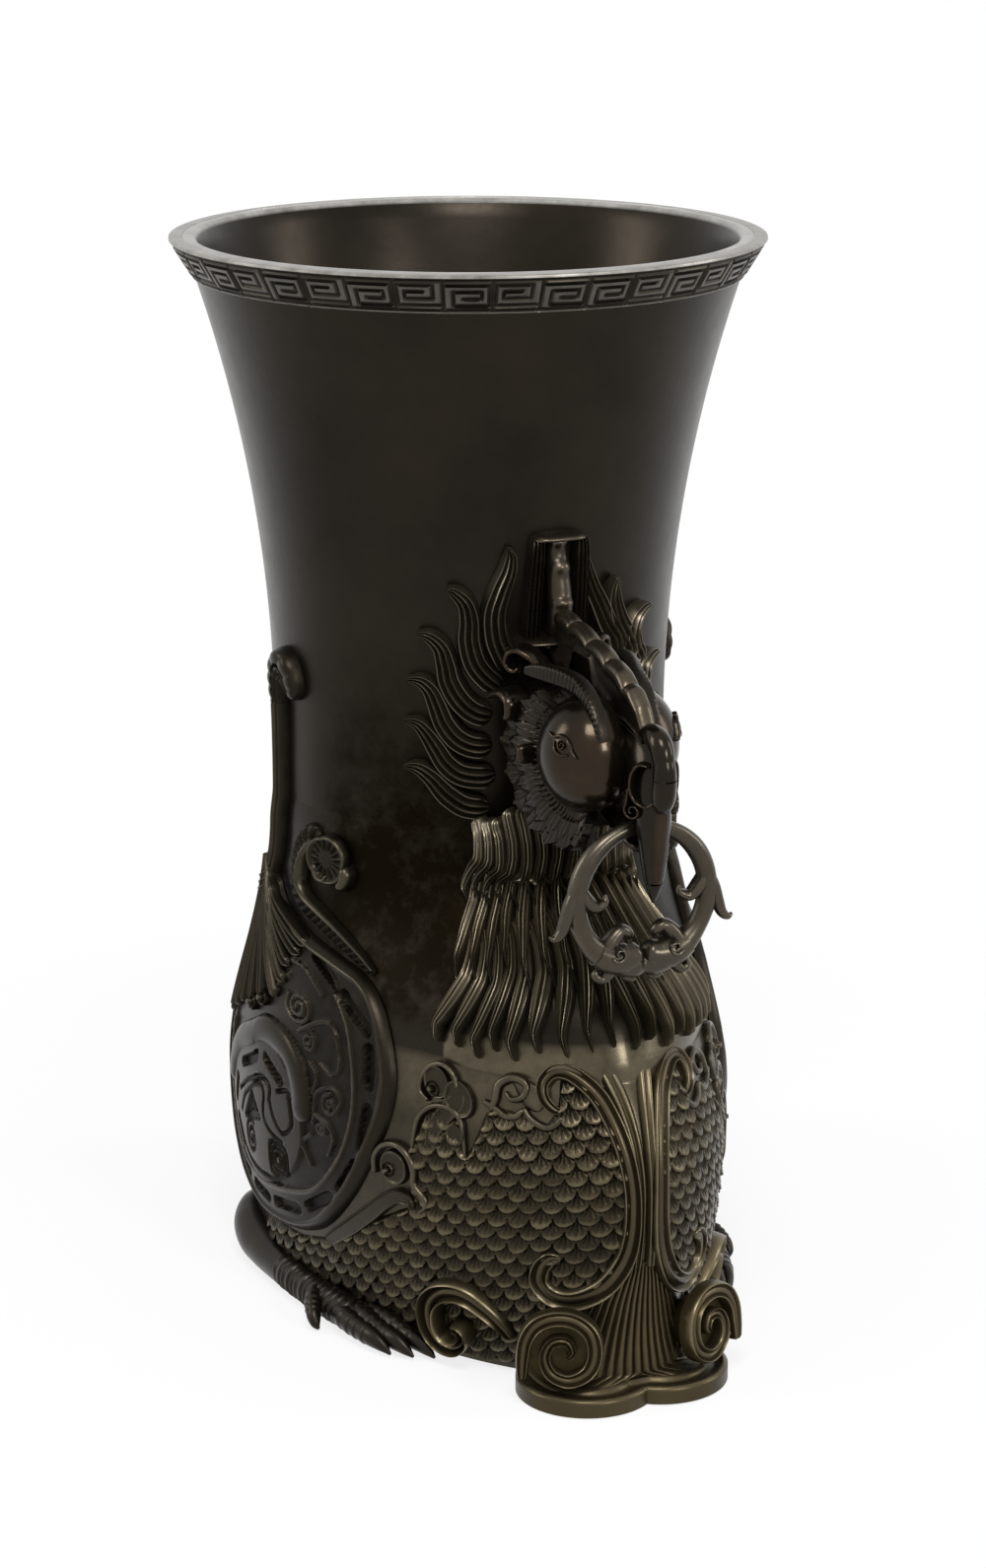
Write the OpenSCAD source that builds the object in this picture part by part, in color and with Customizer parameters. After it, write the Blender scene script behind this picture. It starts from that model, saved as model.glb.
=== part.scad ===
// Bronze phoenix wine vessel: a trumpet-mouthed vase standing in the body of a bird.
// Millimetres, Z up, the bird looks along -Y, the vase axis is X = Y = 0, it rests on Z = 0.

/* [Vase] */
// Height from the resting plane to the lip
vase_h = 360; // [320:1:420]
// Outside diameter of the mouth at the lip
mouth_d = 198; // [180:1:220]
// Outside radius of the straight part of the vase
waist_r = 66.5; // [60:0.5:70]
// Height at which the wall begins to flare
waist_z = 195; // [180:1:230]
// Thickness of the cast vase wall
wall_t = 5; // [3:0.5:8]
// Thickness of the vase floor
floor_t = 5; // [3:0.5:10]

/* [Mouth band] */
// Height of the fret band under the lip
band_h = 12.5; // [8:0.5:20]
// How far the upper edge of the band stands out from the wall
band_out = 4; // [3:0.5:7]
// How far the lower edge of the band stands out from the wall
band_low_out = 1; // [0.5:0.25:3]

/* [Bird body] */
// Half width of the body at its girth
body_half_w = 77.5; // [74:0.5:90]
// Reach of the chest in front of the vase axis
chest_reach = 143.5; // [132:0.5:150]
// Reach of the rump behind the vase axis
rump_reach = 105; // [95:1:120]
// Height of the widest part of the body
girth_z = 70; // [60:1:80]
// Height at which the body runs out into the vase
shoulder_z = 165; // [150:1:175]
// How far the sides draw in at the foot
side_tuck = 7; // [3:0.5:12]
// How far the chest draws in at the foot
chest_tuck = 22; // [16:1:30]
// How far the rump draws in at the foot
rump_tuck = 8; // [3:0.5:14]
// How pointed the chest is in plan, 0 for an ellipse
prow = 0.36; // [0.2:0.02:0.44]
// How full the breast is under the neck, 1 for a plain slope
chest_full = 0.5; // [0.4:0.05:0.8]
// Thickness of the cast body shell
shell_t = 5; // [3:0.5:7]
// Thickness of the body's upper edge where it meets the vase
seam_t = 1; // [0.6:0.1:2]
// Thickness of the plate that closes the body below
plate_t = 6; // [3:0.5:10]

/* [Head] */
// Height of the middle of the head
head_z = 213; // [205:1:225]
// Half height of the head behind the cheeks
head_half_h = 22.5; // [19:0.5:26]
// Half width of the head across the ruff
head_half_w = 23; // [18:0.5:26]
// How far the ruff hangs below the root of the neck
ruff_drop = 9; // [6:0.5:11]
// Half height of each polished cheek
cheek_r = 17.2; // [14:0.2:19]
// Half width of each brow
brow_w = 3; // [2:0.25:4]
// Distance of the widest part of the head from the vase axis
cheek_y = 106; // [100:1:112]
// Distance of the beak's root from the vase axis
beak_y = 128; // [123:1:133]
// How far the beak stands out in front of its root
beak_run = 26; // [22:0.5:28]
// Drop from the middle of the head to the point of the beak
beak_drop = 41; // [38:1:50]
// Half width of the beak at its root
beak_half_w = 9.5; // [8:0.5:12]
// Height of the lower jaw under the middle of the head
jaw_drop = 24.5; // [23:0.5:27]
// Half thickness of the lower jaw
jaw_r = 3.4; // [2.5:0.1:4.5]

/* [Ring] */
// Radius of the ring's centre line
ring_r = 22.6; // [18:0.2:27]
// Radius of the ring's bar where it passes through the beak
ring_top_r = 2.4; // [1.8:0.1:3]
// Radius of the ring's bar at the sides
ring_side_r = 3.2; // [2.6:0.1:4.4]
// Radius of the ring's bar at the two dragon heads
ring_head_r = 4.3; // [3.6:0.1:5.4]
// Room between the ring's bar and the hole in the beak
ring_play = 0.9; // [0.6:0.1:1.5]

/* [Neck and crest] */
// Half angle of the neck on the vase just under the head
neck_top_half = 20; // [17:0.5:22]
// Half angle of the neck at the breast
neck_low_half = 43; // [36:0.5:45]
// Height of the lower end of the neck
neck_low_z = 112; // [108:1:114]
// How far the neck stands out from the vase under the head
neck_out = 25; // [18:0.5:30]
// Thickness of the plume tiers
tier_t = 3.5; // [2:0.5:5]
// Number of locks in each plume tier
tier_locks = 9; // [7:1:11]
// Width of the crest
crest_w = 7; // [5:0.5:9]
// Height of the crest's upper end on the vase
crest_top_z = 271; // [262:1:280]
// Height of the crest over the middle of the head
crest_rise = 29; // [26:0.5:34]

/* [Ornament] */
// Width of the mane locks at their roots
lock_w = 7; // [5:0.5:8]
// Height of the mane locks
lock_h = 5; // [3:0.5:7]
// Width of the breast straps
strap_w = 6; // [4:0.5:6.5]
// Height of the breast straps
strap_h = 4.5; // [3:0.5:6]
// Width of the cloud scrolls
cloud_w = 4; // [3:0.25:4.5]
// Height of the cloud scrolls
cloud_h = 3; // [2:0.5:5]
// Height of the raised disc in the middle of the wing
wing_disc_h = 5; // [4:0.5:8]
// Height of the wing's rim
wing_rim_h = 3.5; // [2.5:0.5:6]
// Width of the tall wing plume
plume_w = 9; // [6:0.5:12]
// Height of the plumes
plume_h = 4; // [3:0.5:6]
// Top of the tall wing plume
plume_top_z = 232; // [220:1:245]
// Width of the hooked plume
hook_w = 8; // [6:0.5:9]
// Width of each tail feather
tail_w = 14; // [10:0.5:15]
// Height of the tail feathers
tail_h = 4.5; // [3:0.5:6]

/* [Feet] */
// Radius of each lobe of the chest foot
lobe_r = 23; // [20:0.5:26]
// Distance of each lobe's middle from the centre line
lobe_x = 13; // [11:0.5:16]
// Distance of the lobes' middles from the vase axis
lobe_y = 127; // [123:0.5:131]
// Thickness of the chest foot's edge
flange_t = 7; // [5.5:0.5:11]
// How far the heel stands out from the body
heel_out = 12; // [9:0.5:14]
// How far the shank stands out from the body
shank_out = 7.5; // [6:0.5:10]
// How far the toes stand out from the body
toe_out = 15; // [11:0.5:18]
// How far the scroll beside the foot stands out from the body
curl_out = 12; // [8:0.5:15]

/* [Hidden] */
$fn = 64;
// Gap of the solder line under each applied piece
seat = 0.35;
// Gap of the solder line under the neck, over the hollow of the shoulder
neck_seat = 2.2;
// Gap between the vase and the shell round it
fit_gap = 0.25;
// Length over which the body's edge eases into the vase
seam_run = 12;
mouth_r = mouth_d / 2;
lip_r = mouth_r - band_out;
flare_dz = vase_h - waist_z;
flare_dr = lip_r - waist_r;
flare_r = (flare_dz * flare_dz + flare_dr * flare_dr) / (2 * flare_dr);
collar_r = waist_r + seam_t;
bore_r = waist_r + fit_gap;
hole_r = ring_top_r + ring_play;
hinge_y = -(beak_y + 10);
hinge_z = head_z - jaw_drop + jaw_r + 0.9;
neck_top_z = head_z - head_half_h - 0.6;
neck_cut_z = neck_top_z - ruff_drop;

// Plain helpers

function ease(t) = let (c = max(0, min(1, t))) c * c * (3 - 2 * c);
function unit(v) = v / norm(v);
function power(v, p) = sign(v) * pow(abs(v), p);
function mix(a, b, t) = a + (b - a) * t;

// A smooth curve through hand-placed points
function bend(p, i, t) =
  let (a = p[max(i - 1, 0)], b = p[i], c = p[i + 1], d = p[min(i + 2, len(p) - 1)])
  0.5 * (2 * b + (c - a) * t + (2 * a - 5 * b + 4 * c - d) * t * t
    + (3 * b - a - 3 * c + d) * t * t * t);
function curve(p, n) =
  concat([for (i = [0 : len(p) - 2], k = [0 : n - 1]) bend(p, i, k / n)], [p[len(p) - 1]]);
function loop_bend(p, i, t) =
  let (m = len(p), a = p[(i + m - 1) % m], b = p[i], c = p[(i + 1) % m], d = p[(i + 2) % m])
  0.5 * (2 * b + (c - a) * t + (2 * a - 5 * b + 4 * c - d) * t * t
    + (3 * b - a - 3 * c + d) * t * t * t);
function loop_curve(p, n) =
  [for (i = [0 : len(p) - 1], k = [0 : n - 1]) loop_bend(p, i, k / n)];

// The skin of the bird and vase: angle 0 is the front, 90 the bird's left

function wall_r(z) =
  z <= waist_z ? waist_r
    : waist_r + flare_r - sqrt(flare_r * flare_r - (z - waist_z) * (z - waist_z));
function swell(z) = 1 - ease((z - girth_z) / (shoulder_z - girth_z));
function keel(z) = ease((shoulder_z - z) / 30);
function reach(z, most, tuck, full = 1) =
  z >= girth_z ? collar_r + (most - collar_r) * pow(swell(z), mix(full, 1, ease((z - 115) / 50)))
    : most - tuck * pow((girth_z - z) / girth_z, 2.2);
function skin(a, z) =
  z > shoulder_z
    ? let (r = wall_r(z) + seam_t * (1 - ease((z - shoulder_z) / seam_run)))
      [r * sin(a), -r * cos(a), z]
    : let (front = cos(a) >= 0, e = front ? 2 / (2 - prow * keel(z)) : 1,
        w = reach(z, body_half_w, side_tuck),
        l = front ? reach(z, chest_reach, chest_tuck, chest_full)
          : reach(z, rump_reach, rump_tuck))
      [w * power(sin(a), e), -l * power(cos(a), e), z];
function skin_y(x, z) =
  let (e = 2 - prow * keel(z), w = reach(z, body_half_w, side_tuck),
    l = reach(z, chest_reach, chest_tuck, chest_full))
  -l * pow(1 - pow(min(1, abs(x) / w), e), 1 / e);

// The neck stands out of the skin as a half cone
function neck_run(z) = (neck_top_z - z) / (neck_top_z - neck_low_z);
function neck_half(z) = neck_top_half + (neck_low_half - neck_top_half) * pow(max(0, neck_run(z)), 1.4);
function neck_lift(u, z) = neck_out * max(0, 1 - pow(max(0, neck_run(z)), 1.3)) * (1 - pow(abs(u), 2.2));

skin_face = function (a, z) skin(a, z);
function face_normal(f, a, z, da) =
  unit(cross(f(a + da, z) - f(a - da, z), f(a, z + 0.5) - f(a, z - 0.5)));
function lift(a, z, h) = skin(a, z) + h * face_normal(skin_face, a, z, 0.5);
neck_face = function (u, z) lift(u * neck_half(z), z, neck_lift(u, z));

// A closed solid through a row of rings with equal point counts
module loft(rings) {
  m = len(rings[0]);
  k = len(rings);
  polyhedron(
    points = [for (r = rings, p = r) p],
    faces = concat(
      [for (i = [0 : k - 2], j = [0 : m - 1])
        [i * m + j, (i + 1) * m + j, (i + 1) * m + (j + 1) % m]],
      [for (i = [0 : k - 2], j = [0 : m - 1])
        [i * m + j, (i + 1) * m + (j + 1) % m, i * m + (j + 1) % m]],
      [for (j = [1 : m - 2]) [0, j, j + 1]],
      [for (j = [1 : m - 2]) [(k - 1) * m, (k - 1) * m + j + 1, (k - 1) * m + j]]));
}

// A solid whose rings close on themselves both ways
module closed_loft(rings) {
  m = len(rings[0]);
  k = len(rings);
  polyhedron(
    points = [for (r = rings, p = r) p],
    faces = concat(
      [for (i = [0 : k - 1], j = [0 : m - 1])
        [i * m + j, ((i + 1) % k) * m + j, ((i + 1) % k) * m + (j + 1) % m]],
      [for (i = [0 : k - 1], j = [0 : m - 1])
        [i * m + j, ((i + 1) % k) * m + (j + 1) % m, i * m + (j + 1) % m]]));
}

// A moulded strip laid on the skin along [angle, height, width, thickness] stations
strip_shape = [[-0.5, 0], [-0.5, 0.55], [-0.25, 1], [0.25, 1], [0.5, 0.55], [0.5, 0]];
function strip_rings(route) =
  let (last = len(route) - 1)
  [for (i = [0 : last])
    let (r = route[i], before = route[max(i - 1, 0)], after = route[min(i + 1, last)],
      n = face_normal(skin_face, r[0], r[1], 0.5),
      t = unit(skin(after[0], after[1]) - skin(before[0], before[1])),
      s = unit(cross(t, n)))
    [for (q = strip_shape) skin(r[0], r[1]) + s * (q[0] * r[2]) + n * (seat + q[1] * r[3])]];
module strip(route, n = 3) loft(strip_rings(curve(route, n)));

// A round bar along [x, y, z, radius] stations
function bar_rings(route, m) =
  let (last = len(route) - 1)
  [for (i = [0 : last])
    let (r = route[i], before = route[max(i - 1, 0)], after = route[min(i + 1, last)],
      t = unit([for (k = [0 : 2]) after[k] - before[k]]),
      up = abs(t[2]) < 0.9 ? [0, 0, 1] : [0, 1, 0],
      s = unit(cross(t, up)), n = cross(s, t))
    [for (j = [0 : m - 1]) [r[0], r[1], r[2]]
      + r[3] * (n * cos(360 * j / m) + s * sin(360 * j / m))]];
module bar(route, n = 4, m = 10) loft(bar_rings(curve(route, n), m));

// Vase

module bell(inset) {
  translate([0, plate_t]) square([waist_r - inset, waist_z - plate_t]);
  difference() {
    translate([0, waist_z]) square([mouth_r, flare_dz]);
    translate([waist_r + flare_r, waist_z]) circle(flare_r + inset, $fn = 360);
  }
}

module vase_wall() color("#2b1f16")
  rotate_extrude()
    difference() {
      bell(0);
      intersection() {
        bell(wall_t);
        translate([0, plate_t + floor_t]) square([mouth_r, vase_h]);
      }
    }

module mouth_band() color("#33241a")
  rotate_extrude()
    intersection() {
      translate([waist_r + flare_r, waist_z]) circle(flare_r - fit_gap, $fn = 360);
      polygon([[lip_r - 12, vase_h - band_h],
        [wall_r(vase_h - band_h) + band_low_out, vase_h - band_h],
        [mouth_r, vase_h - 3], [mouth_r, vase_h], [lip_r - 12, vase_h]]);
    }

// Body

outer_rows = concat([for (k = [0 : 0.08 : 0.56]) shoulder_z * k], [for (k = [0.62 : 0.045 : 0.98]) shoulder_z * k]);
inner_rows = [for (k = [1 : -0.14 : 0.16]) shoulder_z * k];
module bird_body() color("#2e2118") {
  outer = [for (z = concat(outer_rows, [shoulder_z])) [for (j = [0 : 53]) skin(j * 360 / 54, z)]];
  inner = [for (z = concat(inner_rows, [0]))
    [for (j = [0 : 53])
      let (p = skin(j * 360 / 54, z), r = norm([p[0], p[1]]), k = max(bore_r, r - shell_t) / r)
      [p[0] * k, p[1] * k, z]]];
  closed_loft(concat(outer, inner));
}

module base_plate() color("#281c14")
  linear_extrude(plate_t - 0.1)
    polygon([for (j = [0 : 53])
      let (p = skin(j * 360 / 54, 0), r = norm([p[0], p[1]]), k = (r - shell_t - seat) / r)
      [p[0] * k, p[1] * k]]);

// Chest foot: a fan that widens to two lobes on the ground

notch_angle = acos(-lobe_x / lobe_r);
function foot_back(x, v, z) = [x, skin_y(v, z) - seat, z];
function foot_column(u) =
  let (s = u < 0 ? -1 : 1, v = abs(u), a = notch_angle - (notch_angle + 40) * v,
    ox = lobe_x + lobe_r * cos(a), oy = lobe_y + lobe_r * sin(a),
    ix = lobe_x + (lobe_r - 4) * cos(a), iy = lobe_y + (lobe_r - 4) * sin(a),
    front = lobe_y + lobe_r - 3, low = 27 * v, high = 4 * v)
  concat(
    [[s * ox, -oy, 0], [s * ox, -oy, flange_t - 1], [s * (ox + ix) / 2, -(oy + iy) / 2, flange_t],
      [s * ix, -iy, flange_t - 1.5], [s * 21 * v, -(front - 19 * v * v), flange_t + 8],
      [s * 9 * v, -(front - 3 - 5 * v * v), 25], [s * high, -(front - 5), 32]],
    [for (k = [0 : 7]) let (x = mix(high, low, k / 7)) foot_back(s * x, x, 32 * (1 - k / 7))]);
module chest_foot() color("#3a2b1a")
  loft([for (j = [10 : -1 : -10]) foot_column(j / 10)]);

// Breast straps and scrolls

module breast_strap_right() color("#33261a")
  strip([[-20.5, 97, 2.5, 2.5], [-23.4, 98, strap_w - 2.4, strap_h], [-24.2, 103, strap_w - 2, strap_h],
    [-21.2, 107, strap_w - 1.4, strap_h], [-17, 107, strap_w - 1, strap_h], [-12.6, 102.6, strap_w - 1, strap_h],
    [-9, 95, strap_w - 1, strap_h], [-6.2, 84, strap_w - 1, strap_h], [-4.8, 70, strap_w - 1, strap_h],
    [-5, 56, strap_w - 0.5, strap_h], [-8.4, 43.4, strap_w, strap_h], [-13.4, 36, strap_w, strap_h],
    [-19, 31.8, strap_w + 0.5, strap_h], [-24.4, 33.6, strap_w, strap_h], [-26.4, 39.6, strap_w - 0.5, strap_h],
    [-24.6, 45.8, strap_w - 2, strap_h], [-21.8, 47.2, 2.5, 2.5]]);

module cloud_scroll_right() color("#33261a")
  strip([[-49.4, 55, 2.5, 2], [-50, 63, cloud_w - 1, cloud_h], [-49.4, 72, cloud_w - 1, cloud_h],
    [-47.8, 82, cloud_w, cloud_h], [-45.4, 89, cloud_w, cloud_h], [-45.6, 95, cloud_w + 1, cloud_h],
    [-43.4, 101, cloud_w, cloud_h], [-39, 99, cloud_w + 1, cloud_h], [-37.2, 93.6, cloud_w + 1, cloud_h],
    [-33.6, 95, cloud_w, cloud_h], [-31.6, 99.4, cloud_w, cloud_h], [-29, 102, 2, 2]]);

// A lump in upright slices over the skin: [angle, middle height, depth, thickness] stations
function slice(r) =
  let (n = face_normal(skin_face, r[0], r[1], 0.5), out = unit([n[0], n[1], 0]))
  concat(
    [for (k = [0 : 4]) skin(r[0], r[1] + r[2] * (0.5 - k / 4)) + seat * out],
    [for (k = [0 : 6]) let (t = 180 - 30 * k, z = r[1] + 0.5 * r[2] * cos(t))
      skin(r[0], z) + (seat + 0.3 + r[3] * sin(t)) * out]);
module lump(route, n = 2) {
  row = curve(route, n);
  loft([for (i = [len(row) - 1 : -1 : 0]) slice(row[i])]);
}

module base_scroll_right() color("#33261a")
  lump([[-46, 6.5, 8, 6], [-44, 9, 16, curl_out], [-40, 11, 20, curl_out - 1],
    [-36, 13.5, 12, curl_out - 5], [-32.5, 10, 6, 3]]);

// Wings

wing_edge = [[-52.5, 98.6], [-54.4, 116], [-58, 124.5], [-65, 128.6], [-73, 131.8], [-80.5, 136], [-87.5, 142], [-93.5, 146],
  [-98, 139], [-102.5, 123], [-106.5, 104], [-109.5, 84], [-110.5, 64], [-108.5, 47], [-104, 35.5], [-98, 28.4],
  [-91, 25], [-82, 25.4], [-74, 28.4], [-67.5, 35], [-61.3, 49.8], [-56.4, 69.4], [-53.4, 85]];
// The middle of the coiled disc, its radius, and mm of the skin to a degree there
disc_mid = [-85, 67];
disc_r = 30.5;
flank = 2.1;
// A point of the wing: towards an edge point, at a distance in mm from the disc's middle
function wing_run(e) = norm([(e[0] - disc_mid[0]) * flank, e[1] - disc_mid[1]]);
function wing_spot(e, d) = mix(disc_mid, e, min(1, d / wing_run(e)));
module wing_right() color("#30231a") {
  edge = loop_curve(wing_edge, 3);
  // Front rings from the rim to the middle of the disc: [distance, height] on the way to one edge point
  front = function (e) let (w = wing_run(e), field = max(0.83 * w, w - 11.5), disc = min(disc_r, 0.74 * w))
    [[w, 2.2], [w - 1.2, wing_rim_h], [mix(field, w, 0.62), wing_rim_h], [mix(field, w, 0.56), wing_rim_h - 1.1],
      [mix(field, w, 0.32), wing_rim_h - 1.1], [mix(field, w, 0.26), wing_rim_h], [field, wing_rim_h],
      [field - 1, 2], [mix(disc, field, 0.4), 2], [disc + 0.8, 2.2], [disc, wing_disc_h - 1], [disc - 5, wing_disc_h],
      [disc - 6, wing_disc_h - 1], [disc - 11, wing_disc_h - 0.8], [disc - 12, wing_disc_h + 0.2],
      [disc * 0.38, wing_disc_h + 0.4], [3, wing_disc_h + 0.6]];
  back = [0.06, 0.22, 0.38, 0.54, 0.7, 0.85, 1];
  loft(concat(
    [for (k = back) [for (e = edge)
      let (p = mix(disc_mid, e, k)) lift(p[0], p[1], seat)]],
    [for (i = [0 : 16]) [for (e = edge)
      let (f = front(e)[i], p = wing_spot(e, f[0])) lift(p[0], p[1], seat + f[1])]]));
}

module wing_plume_right() color("#33261a")
  strip([[-94, 151, plume_w + 1, plume_h], [-92.6, 160, plume_w, plume_h],
    [-91.8, plume_top_z - 50, plume_w - 1, plume_h], [-91.4, plume_top_z - 32, plume_w, plume_h],
    [-91.2, plume_top_z - 22, plume_w + 1, plume_h], [-89.8, plume_top_z - 14.6, plume_w + 3, plume_h],
    [-86.4, plume_top_z - 11.6, plume_w + 4, plume_h], [-82.6, plume_top_z - 15, plume_w + 3, plume_h],
    [-81, plume_top_z - 21, plume_w, plume_h], [-81.4, plume_top_z - 25, 4, 2]]);

module hook_plume_right() color("#33261a")
  strip([[-55.6, 128, 3, 3], [-58.8, 131.6, hook_w - 3, plume_h], [-63.6, 135.4, hook_w - 2, plume_h],
    [-68.8, 139, hook_w - 1.5, plume_h], [-74.6, 143, hook_w - 1, plume_h], [-77.8, 148.4, hook_w, plume_h],
    [-77.8, 155, hook_w, plume_h], [-75.4, 161, hook_w + 1, plume_h], [-70.8, 164, hook_w + 3, plume_h],
    [-65.6, 162.4, hook_w + 5, plume_h], [-62, 158, hook_w + 3, plume_h - 1], [-61.4, 153.4, 4, 2]]);

// Legs

module leg_right() color("#2c2018")
  lump([[-106, 24, 6, 4], [-102, 18, 12, heel_out - 2], [-97, 12, 15, heel_out - 0.5],
    [-91, 9, 15, heel_out - 1], [-85, 7.4, 13, shank_out + 0.5], [-78.5, 6.8, 12.4, shank_out],
    [-71, 6.6, 12, shank_out + 0.5], [-64, 6.8, 12.4, toe_out - 5], [-58, 6, 11, toe_out - 1],
    [-53.5, 5, 9, toe_out + 2], [-50.5, 4, 6, toe_out], [-49, 3, 3, 5]]);

// Neck

module patch(f, columns, rows, base = seat) {
  // columns: [u, low height, high height, thickness]; each column is one closed ring
  loft([for (c = columns)
    concat(
      [for (k = rows) let (z = mix(c[1], c[2], k)) f(c[0], z) + base * face_normal(f, c[0], z, 0.02)],
      [for (i = [len(rows) - 1 : -1 : 0])
        let (k = rows[i], z = mix(c[1], c[2], k))
        f(c[0], z) + (base + c[3]) * face_normal(f, c[0], z, 0.02)])]);
}

module neck() color("#2e2118")
  loft([for (j = [-12 : 12])
    let (u = j / 12.0 * 0.995)
    concat(
      [for (k = [0 : 20]) let (z = mix(neck_low_z, neck_cut_z, k / 20))
        lift(u * neck_half(z), z, neck_seat)],
      [for (k = [20 : -1 : 0]) let (z = mix(neck_low_z, neck_cut_z, k / 20))
        lift(u * neck_half(z), z, neck_seat + 0.6 + neck_lift(u, z))])]);

over_neck = function (u, z) lift(u * neck_half(z), z, neck_seat + 2.4 + neck_lift(u, z));
module plume_tier(low, high, point, base = seat)
  patch(over_neck,
    [for (j = [-2 * tier_locks : 2 * tier_locks])
      let (k = abs(j) % 4, tip = k == 0 ? 0 : k == 2 ? 1 : 0.5)
      [j / (2 * tier_locks) * 0.87, low + point * (1 - tip), high, tier_t * (0.45 + 0.55 * tip)]],
    [0, 0.17, 0.33, 0.5, 0.67, 0.83, 1], base);

// How much closer the middle tier lies, where the neck is hollow
tier_sink = 1.4;
tier_step = (neck_cut_z - neck_low_z) / 3;
module neck_plumes_upper() color("#33261a")
  plume_tier(neck_low_z + 2 * tier_step + 1, neck_cut_z - 1, 8);
module neck_plumes_middle() color("#33261a")
  plume_tier(neck_low_z + tier_step + 1, neck_low_z + 2 * tier_step - 12, 8, seat - tier_sink);
module neck_plumes_lower() color("#33261a")
  plume_tier(neck_low_z + 1, neck_low_z + tier_step - 1.5, 9);

// Head with beak; the ring hangs on its lower jaw

head_back = wall_r(head_z + head_half_h) + seat;
// Stations: [distance forward, height, half width, half depth, tilt of the section]
head_stations = [
  [head_back, head_z - 2, 17, head_half_h - 3, 0],
  [mix(head_back, cheek_y, 0.35), head_z - 5.5, head_half_w - 2, head_half_h + 1.5, 0],
  [mix(head_back, cheek_y, 0.7), head_z - 6, head_half_w, head_half_h + 1.9, 0],
  [cheek_y, head_z - 6, head_half_w - 1, head_half_h + 1.5, 0],
  [mix(cheek_y, beak_y, 0.5), head_z - 4.5, head_half_w - 5, head_half_h - 1.5, 0],
  [beak_y - 3, head_z - 3, beak_half_w + 3, head_half_h - 6, 0],
  [beak_y + 3, head_z - 2, beak_half_w, head_half_h - 9.5, 5],
  [beak_y + beak_run - 13, head_z - 2.5, beak_half_w - 1, 11.5, 22],
  [beak_y + beak_run - 8.5, head_z - 7, beak_half_w - 2.2, 8.5, 52],
  [beak_y + beak_run - 7, head_z - 15, beak_half_w - 3.8, 6, 82],
  [beak_y + beak_run - 5.6, head_z - 27, beak_half_w - 5.7, 5, 93],
  [beak_y + beak_run - 5.5, head_z - 35, beak_half_w - 7, 3, 93],
  [beak_y + beak_run - 7, head_z - beak_drop - 1.5, 0.8, 0.8, 85]];
// The polished cheek, a brow with its curl over it, and the curl behind it
cheek_at = [-10, -(cheek_y + 12.5), head_z - 1];
brow_route = [[-15.5, -79, head_z + 20, 1.5], [-15, -84, head_z + 21.5, brow_w],
  [-13, -93, head_z + 21.5, brow_w], [-11.5, -104, head_z + 20, brow_w],
  [-10.5, -115, head_z + 18, brow_w], [-8.5, -126, head_z + 14.5, brow_w], [-6, -135, head_z + 11, 1.5]];
module half_head() {
  translate(cheek_at) scale([0.76, 0.82, 1]) sphere(cheek_r, $fn = 20);
  bar(brow_route, 2, 8);
}
module head() color("#38281b")
  difference() {
    union() {
      loft([for (s = head_stations)
        [for (j = [0 : 19])
          let (a = 18 * j, x = -s[2] * sin(a), d = s[3] * cos(a))
          [x, -(s[0] + d * sin(s[4])), s[1] + d * cos(s[4])]]]);
      bar([[0, -(beak_y - 10), head_z - 17, jaw_r + 1.5], [0, hinge_y + 6, head_z - jaw_drop, jaw_r],
        [0, hinge_y - 3, head_z - jaw_drop - 1, jaw_r - 0.4],
        [0, hinge_y - 9, head_z - jaw_drop - 1.5, jaw_r - 1]], 3, 10);
      half_head();
      mirror([1, 0, 0]) half_head();
    }
    translate([-40, hinge_y, hinge_z]) rotate([0, 90, 0]) cylinder(h = 80, r = hole_r);
  }

function head_top(y) =
  let (s = head_stations) lookup(y, [for (i = [0 : 7]) [s[i][0], s[i][1] + s[i][3] * cos(s[i][4])]]);
// The comb's top edge in the middle plane: [distance forward, height]
comb_end = beak_y + 17;
comb_top = [[wall_r(crest_top_z) + 2.6, crest_top_z], [wall_r(crest_top_z) + 4.5, crest_top_z - 10],
  [wall_r(crest_top_z) + 7.5, crest_top_z - 20], [head_back + 17, head_z + crest_rise + 5],
  [head_back + 28, head_z + crest_rise + 4], [cheek_y, head_z + crest_rise + 3.2],
  [cheek_y + 13, head_z + crest_rise + 1.6], [beak_y + 1, head_z + crest_rise - 2],
  [beak_y + 10, head_z + crest_rise - 8], [comb_end, head_z + crest_rise - 16.5]];
module crest() color("#3c2b1b") {
  under = [for (k = [0 : 14]) let (y = mix(comb_end, head_back + 1, k / 14)) [y, head_top(y) + 0.8]];
  back = [for (k = [0 : 7])
    let (z = mix(head_top(head_back + 1) + 0.8, crest_top_z, k / 7)) [wall_r(z) + seat, z]];
  translate([-crest_w / 2, 0, 0]) rotate([90, 0, 90])
    linear_extrude(crest_w)
      polygon([for (p = concat(curve(comb_top, 3), under, back)) [-p[0], p[1]]]);
  for (s = [-1, 1])
    strip([[s * 8.6, 240, 5, 4], [s * 8.4, 250, 5.4, 4.6], [s * 8, 262, 5, 4.6], [s * 7.4, crest_top_z, 4, 3.6]]);
}

// Mane: wavy locks that spread from the back of the head over the vase

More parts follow.
